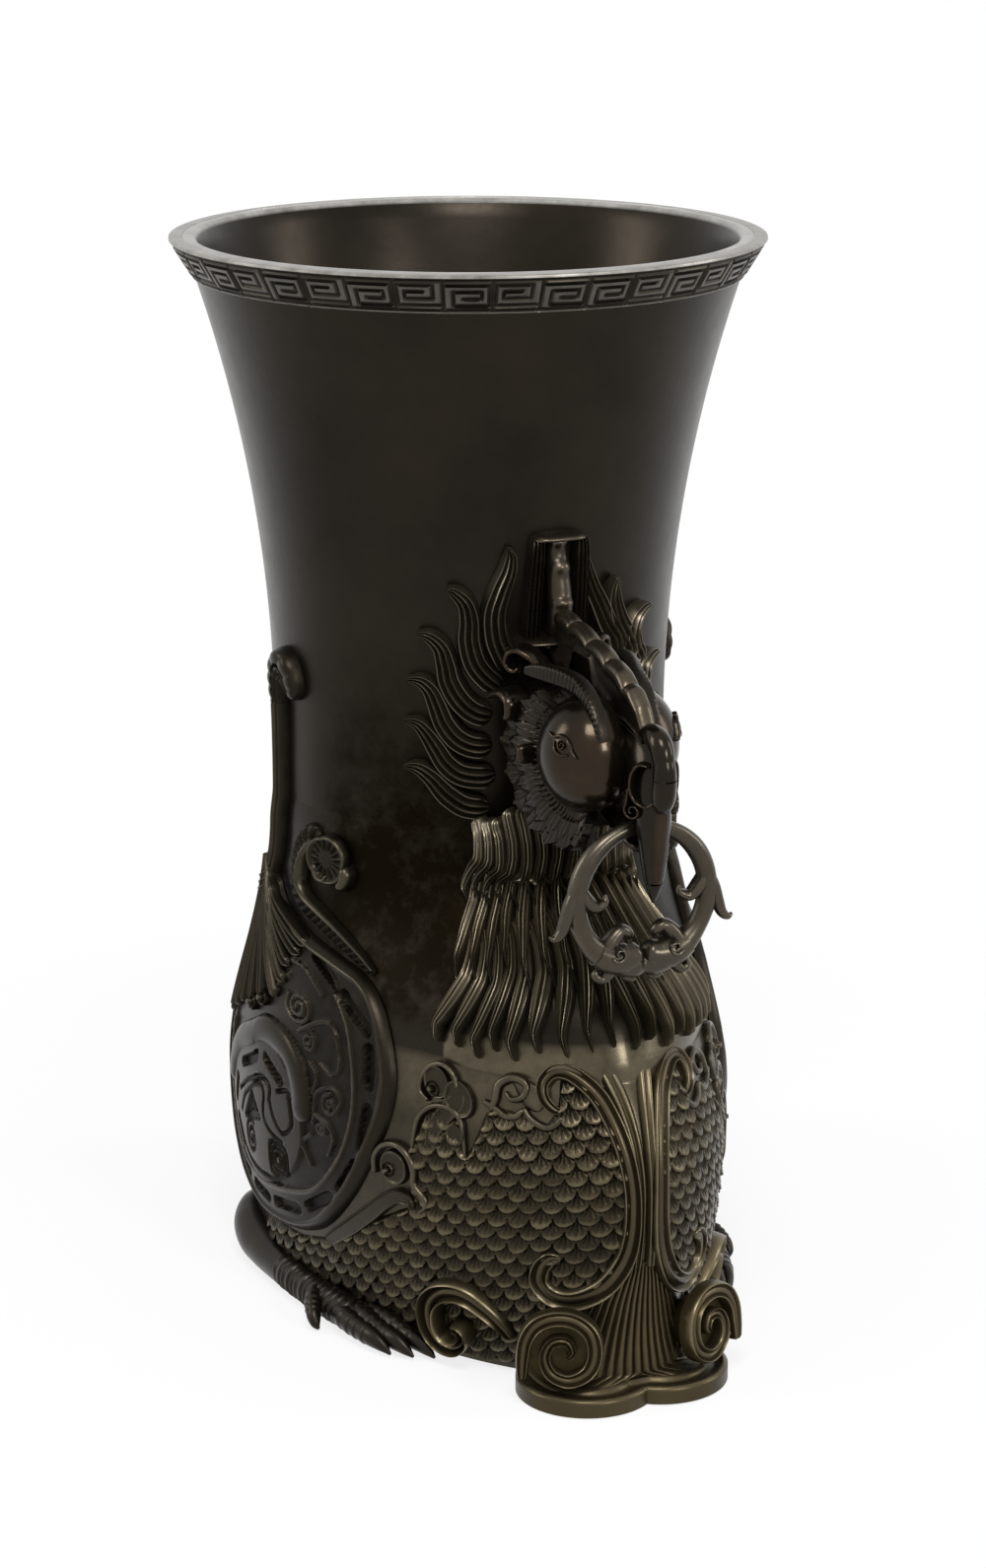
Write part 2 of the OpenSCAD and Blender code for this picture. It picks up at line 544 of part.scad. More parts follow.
mane_lines = [
  [[-19, 188], [-25, 186.6], [-30, 188.4], [-34, 191.6], [-38, 194], [-42, 194.8]],
  [[-19, 195.4], [-25.5, 194.4], [-30, 197.6], [-33, 202.6], [-37, 208], [-42, 210]],
  [[-19, 203.6], [-25, 204.6], [-29.6, 210], [-32.4, 217], [-36.4, 222.8], [-41, 224.4]],
  [[-18.6, 213.4], [-24.4, 216.6], [-28.2, 224], [-30, 231.4], [-33.2, 237.4], [-37.6, 240.2]],
  [[-15.6, 226], [-20.4, 229.6], [-22.8, 237.4], [-23.4, 245.4], [-25.2, 251.6], [-29, 255.8]],
  [[-14, 236], [-15.4, 241], [-15.6, 248], [-13.8, 255.4], [-12.4, 262], [-13, 268.2]]];
function lock_route(line) =
  let (row = curve(line, 2), last = len(row) - 1)
  [for (i = [0 : last]) let (v = i / last)
    [row[i][0], row[i][1], max(0.8, (lock_w + 0.8 * sin(180 * v)) * (1 - pow(v, 2.6))),
      max(0.8, lock_h * (1 - 0.8 * pow(v, 3)))]];
module mane_right() color("#3a2a1a")
  for (line = mane_lines) loft(strip_rings(lock_route(line)));

// Tail

module tail_feathers() color("#30231a")
  for (k = [-3 : 3])
    strip([[180 + 11 * k, 108 - 3 * abs(k), 4, 2], [180 + 12 * k, 92, tail_w - 4, tail_h],
      [180 + 12.5 * k, 66, tail_w - 1, tail_h], [180 + 13 * k, 40, tail_w, tail_h],
      [180 + 13.5 * k, 16, tail_w, tail_h], [180 + 13.5 * k, 5, tail_w - 4, tail_h - 1],
      [180 + 13.5 * k, 2.5, 3, 2]], 3);
module tail_plume() color("#33261a")
  strip([[180, 113, 4, 2], [180, 126, plume_w + 2, plume_h], [180, 160, plume_w, plume_h],
    [180, plume_top_z - 28, plume_w, plume_h], [180, plume_top_z - 18, plume_w + 10, plume_h],
    [180, plume_top_z - 8, plume_w + 10, plume_h], [180, plume_top_z - 2, plume_w + 2, plume_h - 1],
    [180, plume_top_z, 2, 1]]);

// Ring: two dragons whose tails meet in the beak and whose heads meet below

ring_z = hinge_z - ring_r;
function ring_bar(a) =
  a < 60 ? mix(ring_top_r, ring_side_r, ease((a - 15) / 45))
    : mix(ring_side_r, ring_head_r, ease((a - 125) / 30));
module beak_ring() color("#35271a")
  union() {
    closed_loft([for (j = [0 : 35])
      let (a = 10 * j, r = ring_bar(min(a, 360 - a)))
      [for (k = [0 : 11])
        let (d = ring_r + r * cos(30 * k))
        [d * sin(a), hinge_y - r * sin(30 * k), ring_z + d * cos(a)]]]);
    for (s = [-1, 1]) {
      bar([[s * (ring_r - 1) * 0.93, hinge_y, ring_z - ring_r * 0.36, 2.6],
        [s * (ring_r + 5.5), hinge_y, ring_z - ring_r * 0.5, 2.4],
        [s * (ring_r + 8.5), hinge_y, ring_z - ring_r * 0.68, 1.8],
        [s * (ring_r + 8.2), hinge_y, ring_z - ring_r * 0.86, 0.7]], 3, 8);
      bar([[s * (ring_r - 1), hinge_y, ring_z - ring_r * 0.12, 2.2],
        [s * (ring_r - 5.5), hinge_y, ring_z - ring_r * 0.02, 2.4],
        [s * (ring_r - 8.6), hinge_y, ring_z + ring_r * 0.1, 1.2]], 3, 8);
    }
  }

// The bird's left side mirrors its right

module breast_strap_left() mirror([1, 0, 0]) breast_strap_right();
module cloud_scroll_left() mirror([1, 0, 0]) cloud_scroll_right();
module base_scroll_left() mirror([1, 0, 0]) base_scroll_right();
module wing_left() mirror([1, 0, 0]) wing_right();
module wing_plume_left() mirror([1, 0, 0]) wing_plume_right();
module hook_plume_left() mirror([1, 0, 0]) hook_plume_right();
module leg_left() mirror([1, 0, 0]) leg_right();
module mane_left() mirror([1, 0, 0]) mane_right();

vase_wall();
mouth_band();
bird_body();
base_plate();
chest_foot();
breast_strap_right();
breast_strap_left();
cloud_scroll_right();
cloud_scroll_left();
base_scroll_right();
base_scroll_left();
wing_right();
wing_left();
wing_plume_right();
wing_plume_left();
hook_plume_right();
hook_plume_left();
leg_right();
leg_left();
neck();
neck_plumes_upper();
neck_plumes_middle();
neck_plumes_lower();
head();
crest();
mane_right();
mane_left();
tail_feathers();
tail_plume();
beak_ring();
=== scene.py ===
# Bronze wine vessel: a trumpet-mouthed vase that stands in the body of a phoenix.
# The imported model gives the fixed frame; each section below dresses one piece or group of pieces.
# Shapes are written in millimetres and set in metres; the bird looks along -Y.
import math

import bpy
import numpy as np
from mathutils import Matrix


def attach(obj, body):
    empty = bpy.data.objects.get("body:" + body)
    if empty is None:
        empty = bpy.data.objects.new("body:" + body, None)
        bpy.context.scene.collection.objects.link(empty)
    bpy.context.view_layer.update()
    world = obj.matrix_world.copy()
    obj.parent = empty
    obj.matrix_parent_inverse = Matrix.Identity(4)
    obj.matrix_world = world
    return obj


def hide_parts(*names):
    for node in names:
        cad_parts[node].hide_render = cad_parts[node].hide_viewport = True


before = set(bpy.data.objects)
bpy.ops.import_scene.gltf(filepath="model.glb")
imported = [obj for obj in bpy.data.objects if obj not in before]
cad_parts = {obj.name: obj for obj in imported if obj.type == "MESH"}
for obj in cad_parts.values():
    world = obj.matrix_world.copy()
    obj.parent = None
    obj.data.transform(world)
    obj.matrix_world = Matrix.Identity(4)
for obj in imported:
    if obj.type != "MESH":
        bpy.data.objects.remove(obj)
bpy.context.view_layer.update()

# Camera
# The photograph is taken from a little to the bird's right and from above.
# A long lens; the vase axis sits just left of the middle of the frame.
scene = bpy.context.scene
camera_data = bpy.data.cameras.new("camera")
camera_data.sensor_fit = "HORIZONTAL"
camera_data.sensor_width = 36.0
camera_data.lens = 136.33
camera_data.clip_start = 0.05
camera = bpy.data.objects.new("camera", camera_data)
camera.location = (-0.4837, -1.1396, 0.525)
camera.rotation_euler = (math.radians(74.0), 0.0, math.radians(-23.378))
scene.collection.objects.link(camera)
scene.camera = camera
scene.view_settings.view_transform = "Standard"

# Studio
# A pale floor that keeps the vessel's shadow, a white room that the bronze mirrors,
# and soft lamps ahead of the bird, at both sides and overhead.
bpy.ops.object.select_all(action="DESELECT")
bpy.ops.mesh.primitive_plane_add(size=12.0, location=(0.0, 0.0, -0.0005))
floor = bpy.context.object
floor.name = "floor"
floor_paint = bpy.data.materials.new("pale_floor")
floor_paint.use_nodes = True
nodes = floor_paint.node_tree.nodes
links = floor_paint.node_tree.links
nodes.clear()
floor_end = nodes.new("ShaderNodeOutputMaterial")
floor_mix = nodes.new("ShaderNodeMixShader")
floor_matt = nodes.new("ShaderNodeBsdfDiffuse")
floor_matt.inputs["Color"].default_value = (0.86, 0.86, 0.86, 1.0)
floor_white = nodes.new("ShaderNodeEmission")
floor_white.inputs["Color"].default_value = (1.0, 1.0, 1.0, 1.0)
floor_white.inputs["Strength"].default_value = 1.0
floor_spot = nodes.new("ShaderNodeNewGeometry")
floor_far = nodes.new("ShaderNodeVectorMath")
floor_far.operation = "LENGTH"
floor_share = nodes.new("ShaderNodeMapRange")
floor_share.inputs["From Min"].default_value = 0.17
floor_share.inputs["From Max"].default_value = 0.42
floor_share.inputs["To Min"].default_value = 0.8
floor_share.inputs["To Max"].default_value = 1.0
links.new(floor_spot.outputs["Position"], floor_far.inputs[0])
links.new(floor_far.outputs["Value"], floor_share.inputs["Value"])
links.new(floor_share.outputs["Result"], floor_mix.inputs["Fac"])
links.new(floor_matt.outputs["BSDF"], floor_mix.inputs[1])
links.new(floor_white.outputs["Emission"], floor_mix.inputs[2])
links.new(floor_mix.outputs["Shader"], floor_end.inputs["Surface"])
floor.data.materials.append(floor_paint)

room = bpy.data.worlds.new("white_room")
scene.world = room
room.use_nodes = True
nodes = room.node_tree.nodes
links = room.node_tree.links
nodes.clear()
room_end = nodes.new("ShaderNodeOutputWorld")
room_light = nodes.new("ShaderNodeBackground")
room_light.inputs["Color"].default_value = (1.0, 1.0, 1.0, 1.0)
ray_kind = nodes.new("ShaderNodeLightPath")
seen_or_mirrored = nodes.new("ShaderNodeMath")
seen_or_mirrored.operation = "MAXIMUM"
seen_through = nodes.new("ShaderNodeMath")
seen_through.operation = "MAXIMUM"
room_level = nodes.new("ShaderNodeMapRange")
room_level.inputs["To Min"].default_value = 0.55
room_level.inputs["To Max"].default_value = 1.0
links.new(ray_kind.outputs["Is Camera Ray"], seen_or_mirrored.inputs[0])
links.new(ray_kind.outputs["Is Glossy Ray"], seen_or_mirrored.inputs[1])
links.new(seen_or_mirrored.outputs["Value"], seen_through.inputs[0])
links.new(ray_kind.outputs["Is Transmission Ray"], seen_through.inputs[1])
links.new(seen_through.outputs["Value"], room_level.inputs["Value"])
links.new(room_level.outputs["Result"], room_light.inputs["Strength"])
links.new(room_light.outputs["Background"], room_end.inputs["Surface"])


def soft_lamp(name, place, aim, width, height, watts):
    # A rectangular lamp aimed at a place
    lamp_data = bpy.data.lights.new(name, "AREA")
    lamp_data.shape = "RECTANGLE"
    lamp_data.size = width
    lamp_data.size_y = height
    lamp_data.energy = watts
    lamp = bpy.data.objects.new(name, lamp_data)
    lamp.location = place
    away = camera.location.copy()
    for axis in range(3):
        away[axis] = aim[axis] - place[axis]
    lamp.rotation_euler = away.to_track_quat("-Z", "Y").to_euler()
    scene.collection.objects.link(lamp)


soft_lamp("lamp_front", (0.32, -1.58, 0.8), (0.0, -0.05, 0.2), 0.34, 0.34, 9.0)
soft_lamp("lamp_left", (-1.6, 0.55, 0.95), (0.0, 0.0, 0.12), 0.5, 0.9, 11.0)
soft_lamp("lamp_right", (1.5, -0.55, 0.75), (0.0, -0.05, 0.18), 0.4, 0.9, 8.0)
soft_lamp("lamp_top", (-0.4, -0.9, 1.45), (0.0, 0.0, 0.1), 0.5, 0.5, 14.0)

# Vase wall
# The plain trumpet of the vase, cast in leaded bronze and scraped smooth inside and out.
# It is turned here from one closed outline, with the round lip and the floor inside.
vase_h = 360.0
waist_r = 66.5
waist_z = 195.0
lip_r = 95.0
wall_t = 5.0
flare_r = ((vase_h - waist_z) ** 2 + (lip_r - waist_r) ** 2) / (2.0 * (lip_r - waist_r))


def wall_r(z):
    # The wall's outer radius: straight to the waist, then an arc out to the lip
    rise = np.maximum(np.asarray(z, float) - waist_z, 0.0)
    return waist_r + flare_r - np.sqrt(flare_r**2 - rise**2)


def read_points(piece):
    flat = np.empty(len(piece.data.vertices) * 3, np.float32)
    piece.data.vertices.foreach_get("co", flat)
    return flat


def turned(name, outline, steps):
    # A closed outline of (radius, height) spun about the vase axis
    bpy.ops.object.select_all(action="DESELECT")
    bpy.ops.mesh.primitive_circle_add(vertices=len(outline), radius=0.01)
    piece = bpy.context.object
    piece.name = name
    for point, (radius, height) in zip(piece.data.vertices, outline):
        point.co = (radius * 0.001, 0.0, height * 0.001)
    bpy.ops.object.mode_set(mode="EDIT")
    bpy.ops.mesh.select_all(action="SELECT")
    bpy.ops.mesh.spin(steps=steps, angle=2.0 * math.pi, center=(0, 0, 0), axis=(0, 0, 1))
    bpy.ops.object.mode_set(mode="OBJECT")
    return piece


def close_up(piece, weld=2e-6):
    # Seams welded, open ends filled, faces turned outwards, smooth with crisp edges kept
    bpy.ops.object.select_all(action="DESELECT")
    piece.select_set(True)
    bpy.context.view_layer.objects.active = piece
    bpy.ops.object.mode_set(mode="EDIT")
    bpy.ops.mesh.select_all(action="SELECT")
    bpy.ops.mesh.remove_doubles(threshold=weld)
    bpy.ops.mesh.fill_holes(sides=0)
    bpy.ops.mesh.select_all(action="SELECT")
    bpy.ops.mesh.normals_make_consistent(inside=False)
    bpy.ops.object.mode_set(mode="OBJECT")
    bpy.ops.object.shade_smooth_by_angle(angle=math.radians(50.0))
    return piece


def bronze(name, body, hollow_patina_and_shade, rubbed_and_sheen, rough=0.32, cloud=26.0, hollow_share=1.0, gloss=0.5):
    # Dark patinated bronze: clouded body colour, dusty patina in the hollows, rubbed heights; the hollow
    # colour also serves as painted shade and the rubbed colour as painted highlight where a piece asks for
    # them
    skin_paint = bpy.data.materials.new(name)
    skin_paint.use_nodes = True
    tree = skin_paint.node_tree
    metal = tree.nodes["Principled BSDF"]
    metal.inputs["Metallic"].default_value = 0.86
    metal.inputs["Specular IOR Level"].default_value = gloss

    def node(kind, **settings):
        made = tree.nodes.new(kind)
        for key, value in settings.items():
            made.inputs[key].default_value = value
        return made

    where = node("ShaderNodeTexCoord")
    clouds = node("ShaderNodeTexNoise", Scale=cloud, Detail=6.0, Roughness=0.62)
    grain = node("ShaderNodeTexNoise", Scale=cloud * 22.0, Detail=4.0, Roughness=0.6)
    specks = node("ShaderNodeTexNoise", Scale=cloud * 5.0, Detail=5.0, Roughness=0.7)
    for texture in (clouds, grain, specks):
        tree.links.new(where.outputs["Object"], texture.inputs["Vector"])
    relief = node("ShaderNodeAttribute")
    relief.attribute_name = "wear_and_shading"

    cloud_range = node("ShaderNodeMapRange", **{"From Min": 0.3, "From Max": 0.72})
    tree.links.new(clouds.outputs["Fac"], cloud_range.inputs["Value"])
    body_mix = node("ShaderNodeMix")
    body_mix.data_type = "RGBA"
    body_mix.inputs["A"].default_value = (body[0] * 0.72, body[1] * 0.72, body[2] * 0.74, 1.0)
    body_mix.inputs["B"].default_value = (body[0] * 1.3, body[1] * 1.22, body[2] * 1.12, 1.0)
    tree.links.new(cloud_range.outputs["Result"], body_mix.inputs["Factor"])

    # Low values give the hollow colour: patina, and painted shade in some pieces
    low = node("ShaderNodeMapRange", **{"From Min": 0.5, "From Max": 0.05})
    tree.links.new(relief.outputs["Fac"], low.inputs["Value"])
    speck_range = node("ShaderNodeMapRange", **{"From Min": 0.3, "From Max": 0.65})
    speck_range.inputs["To Min"].default_value = 0.35
    speck_range.inputs["To Max"].default_value = hollow_share
    tree.links.new(specks.outputs["Fac"], speck_range.inputs["Value"])
    low_share = node("ShaderNodeMath")
    low_share.operation = "MULTIPLY"
    tree.links.new(low.outputs["Result"], low_share.inputs[0])
    tree.links.new(speck_range.outputs["Result"], low_share.inputs[1])
    hollow_and_shade_mix = node("ShaderNodeMix")
    hollow_and_shade_mix.data_type = "RGBA"
    hollow_and_shade_mix.inputs["B"].default_value = (*hollow_patina_and_shade, 1.0)
    tree.links.new(body_mix.outputs["Result"], hollow_and_shade_mix.inputs["A"])
    tree.links.new(low_share.outputs["Value"], hollow_and_shade_mix.inputs["Factor"])

    high = node("ShaderNodeMapRange", **{"From Min": 0.62, "From Max": 1.0})
    tree.links.new(relief.outputs["Fac"], high.inputs["Value"])
    high_share = node("ShaderNodeMath")
    high_share.operation = "MULTIPLY"
    tree.links.new(high.outputs["Result"], high_share.inputs[0])
    tree.links.new(specks.outputs["Fac"], high_share.inputs[1])
    rubbed_and_sheen_mix = node("ShaderNodeMix")
    rubbed_and_sheen_mix.data_type = "RGBA"
    rubbed_and_sheen_mix.inputs["B"].default_value = (*rubbed_and_sheen, 1.0)
    tree.links.new(hollow_and_shade_mix.outputs["Result"], rubbed_and_sheen_mix.inputs["A"])
    tree.links.new(high_share.outputs["Value"], rubbed_and_sheen_mix.inputs["Factor"])
    tree.links.new(rubbed_and_sheen_mix.outputs["Result"], metal.inputs["Base Color"])

    matt = node("ShaderNodeMapRange")
    matt.inputs["To Min"].default_value = rough - 0.07
    matt.inputs["To Max"].default_value = rough + 0.1
    tree.links.new(specks.outputs["Fac"], matt.inputs["Value"])
    matt_low = node("ShaderNodeMath")
    matt_low.operation = "MULTIPLY_ADD"
    matt_low.inputs[1].default_value = 0.22
    tree.links.new(low.outputs["Result"], matt_low.inputs[0])
    tree.links.new(matt.outputs["Result"], matt_low.inputs[2])
    tree.links.new(matt_low.outputs["Value"], metal.inputs["Roughness"])

    pitted = node("ShaderNodeBump", Strength=0.12, Distance=0.0003)
    tree.links.new(grain.outputs["Fac"], pitted.inputs["Height"])
    tree.links.new(pitted.outputs["Normal"], metal.inputs["Normal"])
    return skin_paint


def finish_piece(piece, paint, body="vessel", stands_for=()):
    # Material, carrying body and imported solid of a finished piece
    piece.data.materials.clear()
    piece.data.materials.append(paint)
    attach(piece, body)
    if stands_for:
        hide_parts(*stands_for)


flare_z = 201.0
vase_outline = [(0.0, 6.0), (30.0, 6.0), (64.0, 6.0), (65.9, 6.6), (waist_r, 8.0)]
for height in np.linspace(20.0, waist_z, 15):
    vase_outline.append((waist_r, float(height)))
for height in np.linspace(flare_z, 358.4, 34):
    vase_outline.append((float(wall_r(height)), float(height)))
vase_outline += [
    (94.9, 359.4), (94.4, 359.9), (93.6, vase_h), (92.0, vase_h), (91.0, 359.85), (90.3, 359.3),
]
for height in np.linspace(358.2, flare_z, 34):
    vase_outline.append((float(wall_r(height)) - wall_t, float(height)))
for height in np.linspace(waist_z, 22.0, 12):
    vase_outline.append((waist_r - wall_t, float(height)))
vase_outline += [(61.0, 15.0), (59.0, 12.2), (56.0, 11.2), (40.0, 11.0), (0.0, 11.0)]
vase_wall = close_up(turned("vase_wall_cast", vase_outline, 240))
vase_wear_and_shading_layer = vase_wall.data.attributes.new("wear_and_shading", "FLOAT", "POINT")
vase_points = read_points(vase_wall).reshape(-1, 3) * 1000.0
vase_edge = np.hypot(vase_points[:, 0], vase_points[:, 1])


def ease(t):
    # A soft step from 0 to 1
    held = np.clip(t, 0.0, 1.0)
    return held * held * (3.0 - 2.0 * held)


def wall_stain_and_shade(place):
    # Low on the wall, between the neck and the wings, the wall is painted darker: painted shade with brown
    # stain
    turn = np.degrees(np.arctan2(np.abs(place[:, 0]), -place[:, 1]))
    across = ease((turn - 8.0) / 22.0) * ease((84.0 - turn) / 26.0)
    # Painted shade with brown stain: darkest between the neck and the wings
    along = ease((place[:, 2] - 60.0) / 50.0) * ease((262.0 - place[:, 2]) / 110.0)
    return 0.56 - 0.5 * across * along


# The lip's top is painted bright: rubbed wear with a painted highlight
vase_wear_and_shading = np.where((vase_points[:, 2] > 359.0) & (vase_edge > 89.0), 1.0, wall_stain_and_shade(vase_points))
vase_wear_and_shading_layer.data.foreach_set("value", vase_wear_and_shading.astype(np.float32))
vase_bronze = bronze(
    "vase_bronze", (0.019, 0.016, 0.0122), (0.0048, 0.003, 0.0008), (0.62, 0.6, 0.56), 0.3, 17.0, 1.5, 0.1
)
finish_piece(vase_wall, vase_bronze, stands_for=["vase_wall"])

# Mouth band
# The fret band shrunk on under the lip: square key scrolls between two plain fillets,
# cut into the cast ring; its upper edge is painted bright, with wear and a painted highlight.
band_low = 347.0
band_r = 99.0
low_fillet = 1.3
fret_count = 39
cell_w = 15.6
cell_h = 9.6


def cast_grid(name, across, along, shape):
    # A grid primitive whose points are moved by shape(u, v) to places in mm, with a wear value
    bpy.ops.object.select_all(action="DESELECT")
    bpy.ops.mesh.primitive_grid_add(x_subdivisions=across, y_subdivisions=along, size=1.0)
    piece = bpy.context.object
    piece.name = name
    piece.data.name = name
    spots = read_points(piece).astype(float).reshape(-1, 3)
    # Each point's value mixes real wear and patina with painted shade and painted highlight in some pieces
    place, wear_and_shading = shape(spots[:, 0] + 0.5, spots[:, 1] + 0.5)
    piece.data.vertices.foreach_set("co", (place * 0.001).ravel())
    wear_and_shading_layer = piece.data.attributes.new("wear_and_shading", "FLOAT", "POINT")
    wear_and_shading_layer.data.foreach_set("value", np.broadcast_to(wear_and_shading, len(spots)).astype(np.float32))
    piece.data.update()
    return piece


def gap_to_line(x, y, points):
    # Distance of each (x, y) from an open line through the points
    nearest = np.full(np.shape(x), 1e9)
    for (ax, ay), (bx, by) in zip(points[:-1], points[1:]):
        run = (bx - ax) ** 2 + (by - ay) ** 2
        share = np.clip(((x - ax) * (bx - ax) + (y - ay) * (by - ay)) / max(run, 1e-9), 0.0, 1.0)
        nearest = np.minimum(nearest, np.hypot(x - ax - share * (bx - ax), y - ay - share * (by - ay)))
    return nearest


fret_line = [
    (0.6, 8.3), (14.6, 8.3), (14.6, 1.2), (3.2, 1.2), (3.2, 6.0), (12.2, 6.0), (12.2, 3.5), (6.2, 3.5),
]


def band_shape(u, v):
    # The band's ring in one sheet: front with the sunk fret, top edge and back
    turn = u * 2.0 * math.pi
    stations_v = [0.0, 0.03, 0.74, 0.79, 0.83, 0.9, 0.94, 1.0]
    stations_z = [band_low, 347.2, 359.0, 359.7, vase_h, vase_h, 358.0, band_low]
    foot = float(wall_r(band_low))
    stations_r = [foot - 1.0, foot + 1.2, band_r, 98.9, 98.2, 94.2, 94.0, foot - 1.0]
    z = np.interp(v, stations_v, stations_z)
    r = np.interp(v, stations_v, stations_r)
    up = (v - 0.03) / 0.71 * 12.1
    cell = turn / (2.0 * math.pi) * fret_count
    index = np.floor(cell)
    x = (cell - index) * cell_w
    x = np.where(index % 2 == 0, x, cell_w - x)
    y = np.where(index % 2 == 0, up - low_fillet, cell_h - (up - low_fillet))
    groove = gap_to_line(x, y, fret_line)
    groove = np.minimum(groove, np.minimum(x, cell_w - x))
    fillet = np.minimum(np.abs(up - 0.9), np.abs(up - 11.2))
    groove = np.minimum(groove, fillet)
    front = (v > 0.04) & (v < 0.73)
    depth = np.where(front, 1.0 - ease((groove - 0.25) / 0.45), 0.0)
    r = r - 0.8 * depth
    # The top edge is painted bright, wear with a painted highlight; the fret grooves hold darker patina
    wear_and_shading = np.where(front, 0.7 - 0.66 * depth, np.where(v < 0.92, 1.0, 0.4))
    return np.stack([r * np.sin(turn), -r * np.cos(turn), z], 1), wear_and_shading


mouth_band = close_up(cast_grid("mouth_band_fret", 1326, 38, band_shape))
band_bronze = bronze("band_bronze", (0.03, 0.026, 0.019), (0.007, 0.006, 0.0035), (0.5, 0.48, 0.44), 0.34)
finish_piece(mouth_band, band_bronze, stands_for=["mouth_band"])

# Bird body
# The hollow cast body of the bird, which grows out of the vase wall at the shoulder.
# A thin shell round the vase: smooth above, its breast is covered by the scales below.
body_half_w = 77.5
chest_reach = 143.5
rump_reach = 105.0
side_tuck = 7.0
chest_tuck = 22.0
rump_tuck = 8.0
chest_fullness = 0.5
seat_r = 67.5
girth_z = 70.0
shoulder_z = 165.0
prow = 0.36


def swell(z):
    # Share of the body's full reach, which fades out at the shoulder
    return 1.0 - ease((z - girth_z) / (shoulder_z - girth_z))


def reach(z, most, tuck, full=1.0):
    # How far the body stands out at a height: most at its girth, drawn in above and tucked under below
    filled = full + (1.0 - full) * ease((z - 115.0) / 50.0)
    above = seat_r + (most - seat_r) * swell(z) ** filled
    below = most - tuck * np.clip((girth_z - z) / girth_z, 0.0, None) ** 2.2
    return np.where(z >= girth_z, above, below)


def chest_power(z):
    # How pointed the chest is in plan; it fades out at the shoulder
    return 2.0 - prow * ease((shoulder_z - z) / 30.0)


def skin(angle, z):
    # The outer face of bird and vase: angle 0 is the front, 90 the bird's left
    angle, z = np.broadcast_arrays(np.asarray(angle, float), np.asarray(z, float))
    sine, cosine = np.sin(np.radians(angle)), np.cos(np.radians(angle))
    high = z > shoulder_z
    round_r = wall_r(z) + 1.0 - ease((z - shoulder_z) / 12.0)
    power = np.where(cosine >= 0.0, 2.0 / chest_power(z), 1.0)
    wide = reach(z, body_half_w, side_tuck)
    chest = reach(z, chest_reach, chest_tuck, chest_fullness)
    long = np.where(cosine >= 0.0, chest, reach(z, rump_reach, rump_tuck))
    x = np.where(high, round_r * sine, wide * np.sign(sine) * np.abs(sine) ** power)
    y = np.where(high, -round_r * cosine, -long * np.sign(cosine) * np.abs(cosine) ** power)
    return np.stack([x, y, z], -1)


def body_shape(u, v):
    # The shell in one sheet: outer face, upper edge and inner face
    angle = u * 360.0
    z = np.interp(v, [0.0, 0.8, 0.82, 1.0], [0.0, 178.0, 178.0, 0.0])
    place = skin(angle, z)
    spread = np.hypot(place[:, 0], place[:, 1])
    under = np.where(v <= 0.8, 0.35 * ease((z - 170.0) / 8.0), np.minimum(5.0, spread - 66.75))
    under = np.where((v > 0.8) & (z > 150.0), 2.0, under)
    place[:, :2] *= ((spread - under) / spread)[:, None]
    turn = np.degrees(np.arctan2(np.abs(place[:, 0]), -place[:, 1]))
    # Below the shoulder the body is painted lighter and browner, with a painted highlight on the smooth
    # breast in front: painted sheen with brown patina
    low = ease((122.0 - z) / 20.0)
    painted_breast_sheen = ease((50.0 - turn) / 20.0) * ease((z - 84.0) / 10.0)
    wear_and_shading = wall_stain_and_shade(place)
    return place, wear_and_shading + (0.67 + 0.05 * painted_breast_sheen - wear_and_shading) * low


bird_body = close_up(cast_grid("bird_body_skin", 240, 90, body_shape))
body_bronze = bronze(
    "body_bronze", (0.019, 0.016, 0.0122), (0.0048, 0.003, 0.0008), (0.4, 0.34, 0.22), 0.26, 17.0, 1.5, 0.1
)
finish_piece(bird_body, body_bronze, stands_for=["bird_body"])
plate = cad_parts["base_plate"]
plate_bronze = bronze("plate_bronze", (0.022, 0.019, 0.014), (0.02, 0.018, 0.01), (0.05, 0.04, 0.03), 0.42)
plate.data.materials.clear()
plate.data.materials.append(plate_bronze)

# Breast scales
# Overlapping rounded scales chased over the breast and flanks, in rows that climb towards
# the front, each with fine veins that spread from its root; patina lies in the veins, painted shade under the
# edge of each scale and a painted highlight along its lower edge.
def unit(rows):
    # Directions of length one
    return rows / np.maximum(np.linalg.norm(rows, axis=-1, keepdims=True), 1e-9)


def run_along(places):
    # Distance along a line of places, from its first one
    steps = np.linalg.norm(np.diff(places, axis=0), axis=1)
    return np.concatenate([[0.0], np.cumsum(steps)])


def outward(face, a, z):
    # The direction that points away from a face
    along = face(a + 0.5, z) - face(a - 0.5, z)
    upward = face(a, z + 0.5) - face(a, z - 0.5)
    return unit(np.cross(along, upward))


def lift(a, z, height):
    # Places at a height over the skin
    return skin(a, z) + outward(skin, a, z) * np.asarray(height)[..., None]


